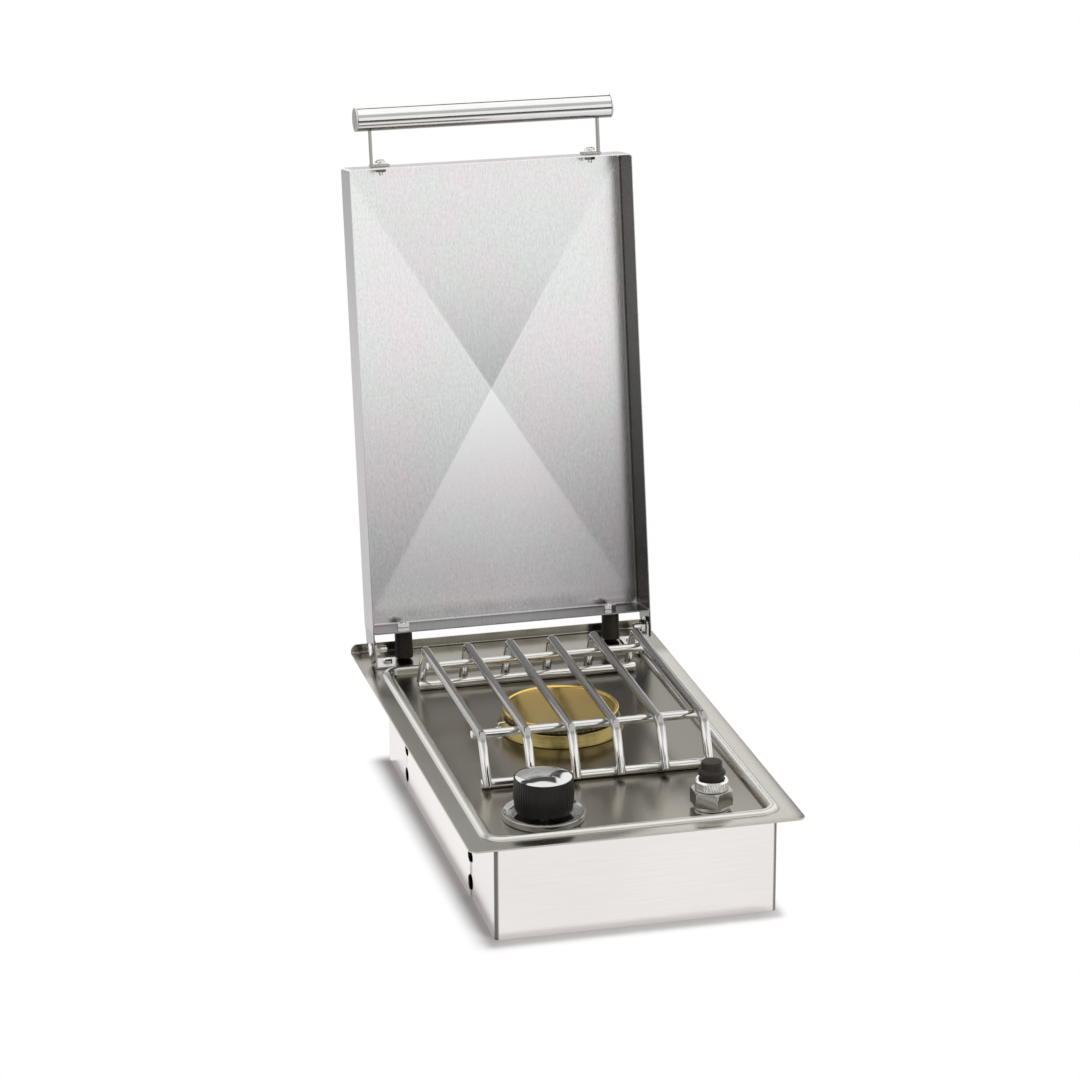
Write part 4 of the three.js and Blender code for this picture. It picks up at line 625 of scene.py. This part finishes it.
def swept(name, path, radius, sides=24, side_axis=(1.0, 0.0, 0.0), end_round=0.35):
    """Round bar along a path in one plane: rings of the bar's radius square to the path. Each end is a flat
    disc, smaller by a short trim, and widens to the full radius one trim further in, as a sawn and
    deburred rod does."""
    path = np.asarray(path, float)
    along = np.gradient(path, axis=0)
    along /= np.linalg.norm(along, axis=1)[:, None]
    side = np.asarray(side_axis, float)[None, :]
    lift = np.cross(along, side)
    angle = np.linspace(0.0, 2 * np.pi, sides, endpoint=False)[None, :, None]
    trim, part = end_round * radius, 0.35
    first = path[0] + along[0] * trim * np.array([[0.0], [0.0], [part]])
    last = path[-1] - along[-1] * trim * np.array([[part], [0.0], [0.0]])
    start, end = path[:1] + along[:1] * trim, path[-1:] - along[-1:] * trim
    path = np.concatenate([first, start, path[1:-1], end, last])
    lift = np.concatenate([np.repeat(lift[:1], 3, 0), lift, np.repeat(lift[-1:], 3, 0)])
    drawn_in = np.array([0.0, radius - trim, radius - part * trim])
    reach = np.concatenate([drawn_in, np.full(len(path) - 6, radius), drawn_in[::-1]])[:, None, None]
    ring = side[:, None, :] * np.cos(angle) + lift[:, None, :] * np.sin(angle)
    return skin(name, path[:, None, :] + reach * ring)


tip_rise, tip_run = np.array([0.0, 0.0, 3.4]), 6.5
tip_start = np.array([*electrode_spot, 6.8])
tip_inward = np.array([-np.cos(electrode_angle), -np.sin(electrode_angle), 0.0])
tip_corners = np.array([tip_start, tip_start + tip_rise, tip_start + tip_rise + tip_inward * tip_run])
tip_side = np.cross(tip_inward, [0.0, 0.0, 1.0])
spark_tip = swept("spark_tip", softened(tip_corners, 1.0, 0.3), 0.9, 16, tip_side)
dress(bright_plate, spark_tip)
put(spark_tip, "housing", "bright_steel", "electrode_tip")


# The grid: six polished rods bent down to the floor at both ends, welded on four cross rods.
# It stands loose in the recess and lifts off.
rod_radius, rod_pitch, grid_middle, grid_top, half_span = 4.0, 39.73, 265.0, 40.5, 113.0
leg_splay, leg_end, rod_bend, rod_gap = 20.5, 1.0, 10.0, 0.3
cross_half = 2.5 * rod_pitch + rod_radius
foot_height = -floor_drop + rod_gap + rod_radius
lean_tangent = leg_splay / (grid_top - leg_end)
rod_touch = 2 * rod_radius + rod_gap
foot_offset = half_span + (grid_top - foot_height) * lean_tangent - rod_touch * np.hypot(1.0, lean_tangent)
upper_front, upper_rear, upper_height = grid_middle - 86.0, grid_middle + 90.0, grid_top - rod_touch


def bent_line(corners, radius, steps=10):
    """Polyline with each inner corner turned on a true arc of one radius."""
    corners = np.asarray(corners, float)
    line = [corners[:1]]
    for before, here, after in zip(corners[:-2], corners[1:-1], corners[2:]):
        a, b = before - here, after - here
        a, b = a / np.linalg.norm(a), b / np.linalg.norm(b)
        half = np.arccos(np.clip(a @ b, -1, 1)) / 2
        middle_way = (a + b) / np.linalg.norm(a + b)
        centre = here + middle_way * radius / np.sin(half)
        swing = np.linspace(-1.0, 1.0, steps + 1)[:, None] * (np.pi / 2 - half)
        square = (b - a) / np.linalg.norm(b - a)
        line.append(centre - middle_way * radius * np.cos(swing) + square * radius * np.sin(swing))
    line.append(corners[-1:])
    return np.concatenate(line)


def top_darkened_rod(name, dark, light, top_tone, roughness):
    """Polished rod steel, rougher, darker and browner along the top runs."""
    material, shader, place = start_finish(name)
    smear = cloud(place, 60.0, 4.0)
    fine = cloud(place, 1400.0)
    height = place.node("ShaderNodeSeparateXYZ", values={0: place}, out="Z")
    top_runs = (height + (smear - 0.5) * 0.003).between(0.1212, 0.1248)
    tint = (top_runs * (0.75 + 0.5 * (fine - 0.5))).shade(smear.shade(dark, light), top_tone)
    rough = roughness + top_runs * 0.06 + (fine - 0.5) * 0.04
    feed(shader, Base_Color=tint, Roughness=rough, Metallic=1.0, Normal=dented(fine, 0.08, 0.0002))
    return material


rod_finish = top_darkened_rod("top_darkened_rod", (0.7, 0.69, 0.66), (0.82, 0.81, 0.78), (0.27, 0.26, 0.245), 0.09)
for number in range(6):
    x = (number - 2.5) * rod_pitch
    rod_corners = [(x, grid_middle - half_span - leg_splay, leg_end), (x, grid_middle - half_span, grid_top),
                   (x, grid_middle + half_span, grid_top), (x, grid_middle + half_span + leg_splay, leg_end)]
    rod = swept(f"bent_rod_{number + 1}", bent_line(rod_corners, rod_bend), rod_radius)
    dress(rod_finish, rod)
    put(rod, "grid", "rod_steel", f"grid_rod_{number + 1}")
for name, node, y, z in (
    ("upper_cross_front", "grid_cross_top_front", upper_front, upper_height),
    ("upper_cross_rear", "grid_cross_top_rear", upper_rear, upper_height),
    ("foot_cross_front", "grid_cross_foot_front", grid_middle - foot_offset, foot_height),
    ("foot_cross_rear", "grid_cross_foot_rear", grid_middle + foot_offset, foot_height),
):
    ends = np.linspace(-cross_half, cross_half, 12)
    path = np.stack([ends, np.full(12, y), np.full(12, z)], -1)
    cross_rod = swept(name, path, rod_radius, 24, (0.0, 1.0, 0.0))
    dress(rod_finish, cross_rod)
    put(cross_rod, "grid", "rod_steel", node)


# The control knob: moulded black plastic with fine flutes, and a bright insert with a shallow dome pressed
# into its top. It sits over a spun dish with a rolled edge, the bezel, and turns and is pushed.
knob_spot = (-66.3, 66.4)
floor_top = -floor_drop
knob_foot = 4.5
flute_total, flute_depth = 60, 0.55
bezel_profile = [(5.5, 0.3, 0), (35.2, 0.3, 0.5), (35.9, 5.5, 1.2), (35.3, 6.5, 0.4), (34.2, 6.2, 0.5),
                 (31.4, 4.6, 2.0), (27.0, 3.4, 3.0), (5.5, 3.0, 0)]
knob_profile = [(0.0, 0.0, 0), (24.2, 0.0, 0.3), (24.6, 0.4, 0.3), (26.2, 13.0, 8.0), (25.4, 29.1, 0.3),
                (25.0, 29.5, 0.2), (24.5, 29.5, 0.2), (24.4, 27.1, 0), (0.0, 27.1, 0)]
insert_radius, insert_edge, dome_radius = 24.1, 29.8, 62.0
dome_reach = np.linspace(insert_radius - 0.3, 0.0, 9)
dome_depth = np.sqrt(dome_radius ** 2 - dome_reach ** 2)
dome_rise = insert_edge + dome_depth - dome_depth[0]
insert_profile = [(0.0, 27.4, 0), (insert_radius, 27.4, 0.2), (insert_radius, insert_edge - 0.3, 0)]
insert_profile += [(reach, rise, 0) for reach, rise in zip(dome_reach, dome_rise)]


def fluted(angle, height, radius):
    """Flutes: a cosine of the angle cut into the side wall, fading out at its ends."""
    share = 0.5 + 0.5 * np.cos(angle * flute_total)
    wall = np.clip((height - 0.6) / 2.5, 0, 1) * np.clip((29.0 - height) / 1.5, 0, 1)
    return radius - flute_depth * share ** 2 * wall * (radius > 24.5)


def lifted(place, height):
    """The same place, so much higher."""
    return lambda points: place(points) + np.array([0.0, 0.0, height])


knob_place = upright(knob_spot)
knob_bezel = turned("bezel_dish", bezel_profile, lifted(knob_place, floor_top), 144, closed=True)
knob_grip = turned("knob_grip", knob_profile, lifted(knob_place, knob_foot), flute_total * 8,
                   trim=fluted, sharp=50.0)
knob_face = turned("knob_face", insert_profile, lifted(knob_place, knob_foot), 120)
spun_plate = mirror_metal("spun_plate", (0.22, 0.22, 0.21), (0.52, 0.52, 0.51), 0.09)
smoked_plate = mirror_metal("smoked_plate", (0.66, 0.665, 0.65), (0.76, 0.765, 0.75), 0.05)
dress(spun_plate, knob_bezel)
dress(smoked_plate, knob_face)
dress(black_plastic, knob_grip)
put(knob_bezel, "housing", "chrome_plate", "knob_bezel")
put(knob_grip, "knob", "knob_black", "knob_body")
put(knob_face, "knob", "chrome_plate", "knob_insert")


# The igniter: plated washer, large chamfered nut and knurled collar round a rubber boot that is pushed.
# They hold its plastic barrel in the top.
igniter_spot = (77.0, 52.0)
igniter_place = lifted(upright(igniter_spot), floor_top)
washer_profile = [(7.8, 0.3, 0.2), (15.0, 0.3, 0.3), (15.0, 3.5, 0.5), (7.8, 3.5, 0.2)]
nut_corner, nut_bottom, nut_top = 18.8, 3.8, 17.0
nut_cone_height, nut_cone_slope, nut_keep = 1.1, 1.5, 10.5
collar_profile = [(7.8, 17.3, 0.2), (14.3, 17.3, 0.3), (14.3, 24.6, 0.4), (13.6, 25.6, 0.3),
                  (13.2, 26.3, 0.3), (11.4, 26.3, 0.3), (10.9, 25.6, 0.3), (10.9, 20.3, 0.2),
                  (7.8, 20.3, 0.2)]
boot_profile = [(0.0, 23.1, 0), (10.6, 23.1, 0.4), (10.6, 28.6, 0.9), (12.2, 31.5, 1.0), (11.7, 33.4, 1.0),
                (9.3, 35.4, 1.2), (8.9, 41.0, 0.5), (8.4, 42.0, 0.6), (0.0, 42.0, 0)]
collar_ridges, ridge_depth = 36, 0.9


def six_sided(angle, height, radius):
    """Hexagon: the radius is at most the flat's distance over the cosine of the angle from it, and near
    the top face at most a cone's, which leaves the curved chamfer on the corners."""
    from_flat = (angle + np.pi / 6) % (np.pi / 3) - np.pi / 6
    flat = nut_corner * np.cos(np.pi / 6) / np.cos(from_flat)
    cone = nut_corner + 0.2 - nut_cone_slope * np.clip(nut_cone_height - (nut_top - height), 0, None)
    return np.where(radius > nut_keep, np.minimum(np.minimum(radius, flat), cone), radius)


def ridged(angle, height, radius):
    """Knurl: a cosine of the angle in the outer wall below the rim."""
    wall = np.clip((24.6 - height) / 0.6, 0, 1) * np.clip((height - 17.6) / 0.6, 0, 1)
    share = 0.5 + 0.5 * np.cos(angle * collar_ridges)
    return radius - ridge_depth * share ** 2 * wall * (radius > 13.9)


nut_levels = np.concatenate([[nut_bottom], nut_top - np.array([1.1, 0.88, 0.66, 0.44, 0.22, 0.0])])
nut_rows = [(7.8, nut_bottom, 0.2)] + [(nut_corner + 1.0, z, 0) for z in nut_levels]
nut_rows += [(12.0, nut_top, 0), (7.8, nut_top, 0.2)]
igniter_washer = turned("igniter_disc", washer_profile, igniter_place, 72, closed=True)
igniter_nut = turned("igniter_hexagon", nut_rows, igniter_place, 144, True, six_sided, 28.0)
igniter_collar = turned("igniter_knurl", collar_profile, igniter_place, collar_ridges * 8, True, ridged, 50.0)
igniter_boot = turned("igniter_cap", boot_profile, igniter_place, 96)
nickel_plate = mirror_metal("nickel_plate", (0.27, 0.26, 0.25), (0.5, 0.49, 0.47), 0.13)
dress(nickel_plate, igniter_nut)
dress(bright_plate, igniter_washer, igniter_collar)
dress(black_rubber, igniter_boot)
put(igniter_washer, "housing", "bright_steel", "igniter_washer")
put(igniter_nut, "housing", "bright_steel", "igniter_nut")
put(igniter_collar, "housing", "bright_steel", "igniter_collar")
put(igniter_boot, "igniter_button", "black_rubber", "igniter_boot")


# The lid: one folded tray of brushed steel, creased from corner to corner, hinged on two pins at the rear.
# Its sheet is the CAD node with a drawn finish. It leans back on two rubber bumpers, held by bright nuts.
lean = np.radians(9.48)
pin_y, pin_z = 453.7, 16.1


def on_lid(points):
    """From the lid's own axes (x, back from its hollow side, up from the pin) to the counter's."""
    x, back, up = np.moveaxis(points, -1, 0)
    y = pin_y + back * np.cos(lean) + up * np.sin(lean)
    z = pin_z - back * np.sin(lean) + up * np.cos(lean)
    return np.stack([x, y, z], -1)


lid_half_width, lid_half_length, lid_middle = 133.77, 216.08, 231.72


def way_along(place, start, direction):
    """How far a place lies from a start along a direction, counted in the direction's own length."""
    return place.vector("SUBTRACT", start).vector("DOT_PRODUCT", direction, "Value")


def creased_steel(name, dark, light, roughness):
    """Lid steel: fine upright grain, faint pink and green blooms, and four fields between the creases that
    run from corner to corner, with painted shade and highlight. Near the middle the upper field is painted
    darker and the lower one brighter, and a painted highlight runs along each crease. Painted shade also
    darkens the sheet towards the pins and at the lower right; the right wall's inner face is painted dark
    and the left wall's outer one a little dark. Up and side count from -1 to 1 across the lid."""
    material, shader, place = start_finish(name)
    pin = (0.0, (pin_y + counter_place[1]) * 0.001, (pin_z + counter_place[2]) * 0.001)
    per_length, per_width = 1000 / lid_half_length, 1000 / lid_half_width
    up = way_along(place, pin, (0.0, np.sin(lean) * per_length, np.cos(lean) * per_length))
    up = up - lid_middle / lid_half_length
    side = way_along(place, pin, (per_width, 0.0, 0.0))
    back = way_along(place, pin, (0.0, np.cos(lean), -np.sin(lean)))
    rise, reach = abs(up), abs(side)

    scratch = cloud(place, 1.0, 4.0, (1500.0, 400.0, 24.0))
    speck = cloud(place, 800.0, 2.0, (1.0, 1.0, 0.35))
    bloom = cloud(place, 14.0, 2.0)
    tint = mingled(scratch, speck, 0.4).shade(dark, light)
    colour = bloom.between(0.38, 0.62).shade((1.0, 0.95, 0.97), (0.945, 0.985, 0.965))
    multiply = {"data_type": "RGBA", "blend_type": "MULTIPLY"}
    tint = place.node("ShaderNodeMix", multiply, {0: 1.0, 6: tint, 7: colour}, 2)

    # The four fields between the creases, painted shade and highlight, and a painted highlight along each
    # crease; then painted shade towards the pins and at the lower right
    outer, from_crease = rise.larger(reach), rise - reach
    above = up.between(-0.02, 0.02)
    upper = from_crease.between(-0.012, 0.012) * above
    lower = from_crease.between(-0.012, 0.012) * (1.0 - above)
    near = 1.0 - outer.between(0.05, 0.85)
    crease_highlight = 1.0 - abs(from_crease).between(0.004, 0.014)
    shadow_grey = (0.12, 0.11, 0.12)
    tint = (upper * (1.0 - outer.between(0.02, 0.6)) * 0.17).shade(tint, (0.1, 0.11, 0.11))
    tint = (lower * near * 0.5).shade(tint, (1.0, 1.0, 1.0))
    tint = (crease_highlight * near * 0.4).shade(tint, (1.0, 1.0, 1.0))
    tint = ((1.0 - up.between(-1.1, 0.4)) * 0.44).shade(tint, shadow_grey)
    tint = ((1.0 - up.between(-1.1, 0.3)) * side.between(0.0, 1.1) * 0.46).shade(tint, shadow_grey)

    # The walls, found by how far a spot lies to the side, up and back: painted shade on the right wall's
    # inner face, the left wall's outer face and the sheet's end at the pins
    lips = rise.between(0.985, 0.992) * (1.0 - rise.between(1.0005, 1.002))
    inside = side.between(0.975, 0.985) * (1.0 - side.between(0.993, 0.998))
    inside = inside * (1.0 - back.between(0.0306, 0.0311)) * (1.0 - lips)
    outside = 1.0 - side.between(-0.998, -0.993)
    tint = (outside * 0.27).shade(tint, (0.1, 0.1, 0.1))
    tint = ((1.0 - up.between(-0.996, -0.985)) * 0.34).shade(tint, (0.12, 0.11, 0.1))
    tint = (inside * 0.92).shade(tint, (0.085, 0.078, 0.058))
    rough = roughness + (scratch - 0.5) * 0.12 + (speck - 0.5) * 0.08
    feed(shader, Base_Color=tint, Roughness=rough, Metallic=1.0, Normal=dented(scratch, 0.03))
    return material


lid_steel = creased_steel("lid_steel", (0.78, 0.77, 0.77), (0.97, 0.96, 0.96), 0.22)
dress(lid_steel, "lid_shell")
bumper_profile = [(0.0, -12.3, 0), (7.5, -12.3, 0), (8.25, -11.4, 0.6), (8.25, 14.5, 0.6), (7.5, 15.3, 0.4),
                  (2.8, 15.3, 0.2), (2.8, 7.1, 0), (0.0, 7.1, 0)]
pin_profile = [(0.0, 119.5, 0), (2.75, 119.5, 0.3), (3.25, 120.2, 0.2), (3.25, 134.07, 0), (6.5, 134.07, 0.4),
               (6.5, 135.6, 0.9), (5.2, 136.6, 0.8), (0.0, 136.7, 0)]
bumper_out, bumper_back = 100.5, 13.0
nut_bore, nut_size, nut_low, nut_high = 3.36, 6.0, 126.27, 130.27


def along_x(side, y, z):
    """Place of a piece turned about an axis along X, its heights counted outwards on that side."""
    return lambda points: np.stack([side * points[..., 2], y + side * points[..., 0], z + points[..., 1]], -1)


def small_hexagon(corner, low, high, keep):
    """Trim of a small nut: a hexagon outside the radius keep, both of its faces chamfered by a cone."""
    def trim(angle, height, radius):
        from_flat = (angle + np.pi / 6) % (np.pi / 3) - np.pi / 6
        flat = corner * np.cos(np.pi / 6) / np.cos(from_flat)
        margin = np.minimum(height - low, high - height)
        cone = corner * 0.94 + 1.6 * margin
        return np.where(radius > keep, np.minimum(np.minimum(radius, flat), cone), radius)
    return trim


def nut_section(bore, corner, low, high):
    """Section of a nut from bore to corner, with rows close together where its chamfers curve."""
    levels = [low, low + 0.2, low + 0.45, high - 0.45, high - 0.2, high]
    rows = [(bore, low, 0.15), (corner * 0.8, low, 0)] + [(corner + 1, z, 0) for z in levels]
    return rows + [(corner * 0.8, high, 0), (bore, high, 0.15)]


for side, suffix in ((-1, "left"), (1, "right")):
    bumper = turned(f"rubber_foot_{suffix}", bumper_profile,
                    lambda points: on_lid(points + np.array([side * bumper_out, bumper_back, 0.0])), 48)
    dress(black_rubber, bumper)
    put(bumper, "lid", "black_rubber", f"bumper_{suffix}")
    hinge_pin = turned(f"hinge_bolt_{suffix}", pin_profile, along_x(side, pin_y, pin_z), 48)
    hinge_nut = turned(f"hinge_hexagon_{suffix}", nut_section(nut_bore, nut_size, nut_low, nut_high),
                       along_x(side, pin_y, pin_z), 72, True,
                       small_hexagon(nut_size, nut_low, nut_high, 5.0), 28.0)
    dress(bright_plate, hinge_pin, hinge_nut, f"bracket_screw_{suffix}", f"bumper_nut_{suffix}")
    put(hinge_pin, "housing", "bright_steel", f"hinge_pin_{suffix}")
    put(hinge_nut, "housing", "bright_steel", f"hinge_nut_{suffix}")


# The handle: a bright drawn tube with grey moulded end plugs, held on two strip brackets. Each bracket is
# bolted through the lid's front lip, with a domed head on one side and a dark nut on the other.
handle_up, handle_back = 491.7, 13.6
tube_profile = [(9.6, -120.05, 0), (11.0, -120.05, 0.4), (11.0, 120.05, 0.4), (9.6, 120.05, 0)]
plug_profile = [(0.0, 111.0, 0), (9.3, 111.0, 0.3), (9.3, 120.35, 0), (11.0, 120.35, 0.2),
                (11.0, 121.75, 0.7), (0.0, 121.75, 0)]
bolt_profile = [(0.0, 0.0, 0), (1.7, 0.0, 0.3), (2.0, 0.6, 0.2), (2.0, 11.7, 0), (5.0, 11.7, 0.3),
                (5.0, 12.9, 0.6), (4.2, 14.2, 1.2), (2.0, 15.1, 1.2), (0.0, 15.2, 0)]
bolt_out, bolt_foot = 99.5, 439.7
lip_nut_bore, lip_nut_size, lip_nut_low, lip_nut_high = 2.05, 5.0, 442.7, 446.3


def across_lid(side, back, up):
    """Place of a piece turned about a line along X on the lid."""
    def place(points):
        laid = np.stack([side * points[..., 2], back + side * points[..., 0], up + points[..., 1]], -1)
        return on_lid(laid)
    return place


handle_tube = turned("handle_bar", tube_profile, across_lid(1, handle_back, handle_up), 96, closed=True)


def drawn_tube(name, dark, light, underside_shade_tone, roughness):
    """Bright drawn tube: lengthwise lines tint it. Its lower half is painted darker and a strip along its
    underside painted near black, painted shade and reflection; that strip is also rougher.
    """
    material, shader, place = start_finish(name)
    axis = (on_lid(np.array([0.0, handle_back, handle_up])) + counter_place) * 0.001
    tube_radius = 0.011
    under = way_along(place, tuple(axis), (0.0, -0.5 / tube_radius, -0.866 / tube_radius))
    lines = cloud(place, 1.0, 3.0, (6.0, 900.0, 900.0))
    smear = cloud(place, 50.0, 3.0)
    duller_shaded_underside = (under + (lines - 0.5) * 0.04).between(0.88, 0.94)
    tint = mingled(lines, smear, 0.6).shade(dark, light)
    # Painted shade: the lower half darker, and the underside strip near black and rougher.
    tint = (under.between(-0.25, 0.35) * 0.32).shade(tint, (0.42, 0.42, 0.4))
    tint = (duller_shaded_underside * 0.92).shade(tint, underside_shade_tone)
    rough = roughness + (lines - 0.5) * 0.08 + duller_shaded_underside * 0.1
    feed(shader, Base_Color=tint, Roughness=rough, Metallic=1.0)
    return material


tube_plate = drawn_tube("tube_plate", (0.82, 0.82, 0.81), (0.9, 0.9, 0.89), (0.13, 0.125, 0.1), 0.09)
dress(tube_plate, handle_tube)
put(handle_tube, "lid", "chrome_plate", "handle_tube")
dark_plate = mirror_metal("dark_plate", (0.1, 0.1, 0.09), (0.22, 0.22, 0.2), 0.2)
grey_plastic = cast_metal("grey_plastic", (0.5, 0.49, 0.46), (0.58, 0.57, 0.54), 0.45, 0.0, 0.15)
for side, suffix in ((-1, "left"), (1, "right")):
    plug = turned(f"end_plug_{suffix}", plug_profile, across_lid(side, handle_back, handle_up), 72)
    dress(grey_plastic, plug)
    put(plug, "lid", "plug_grey", f"handle_plug_{suffix}")
    bolt_x = side * bolt_out
    bolt = turned(f"domed_bolt_{suffix}", bolt_profile,
                  lambda points: on_lid(points + np.array([bolt_x, handle_back, bolt_foot])), 40)
    nut = turned(f"lip_nut_{suffix}", nut_section(lip_nut_bore, lip_nut_size, lip_nut_low, lip_nut_high),
                 lambda points: on_lid(points + np.array([bolt_x, handle_back, 0.0])), 72, True,
                 small_hexagon(lip_nut_size, lip_nut_low, lip_nut_high, 4.2), 28.0)
    dress(bright_plate, bolt)
    dress(dark_plate, nut)
    put(bolt, "lid", "bright_steel", f"handle_bolt_{suffix}")
    put(nut, "lid", "bright_steel", f"handle_nut_{suffix}")
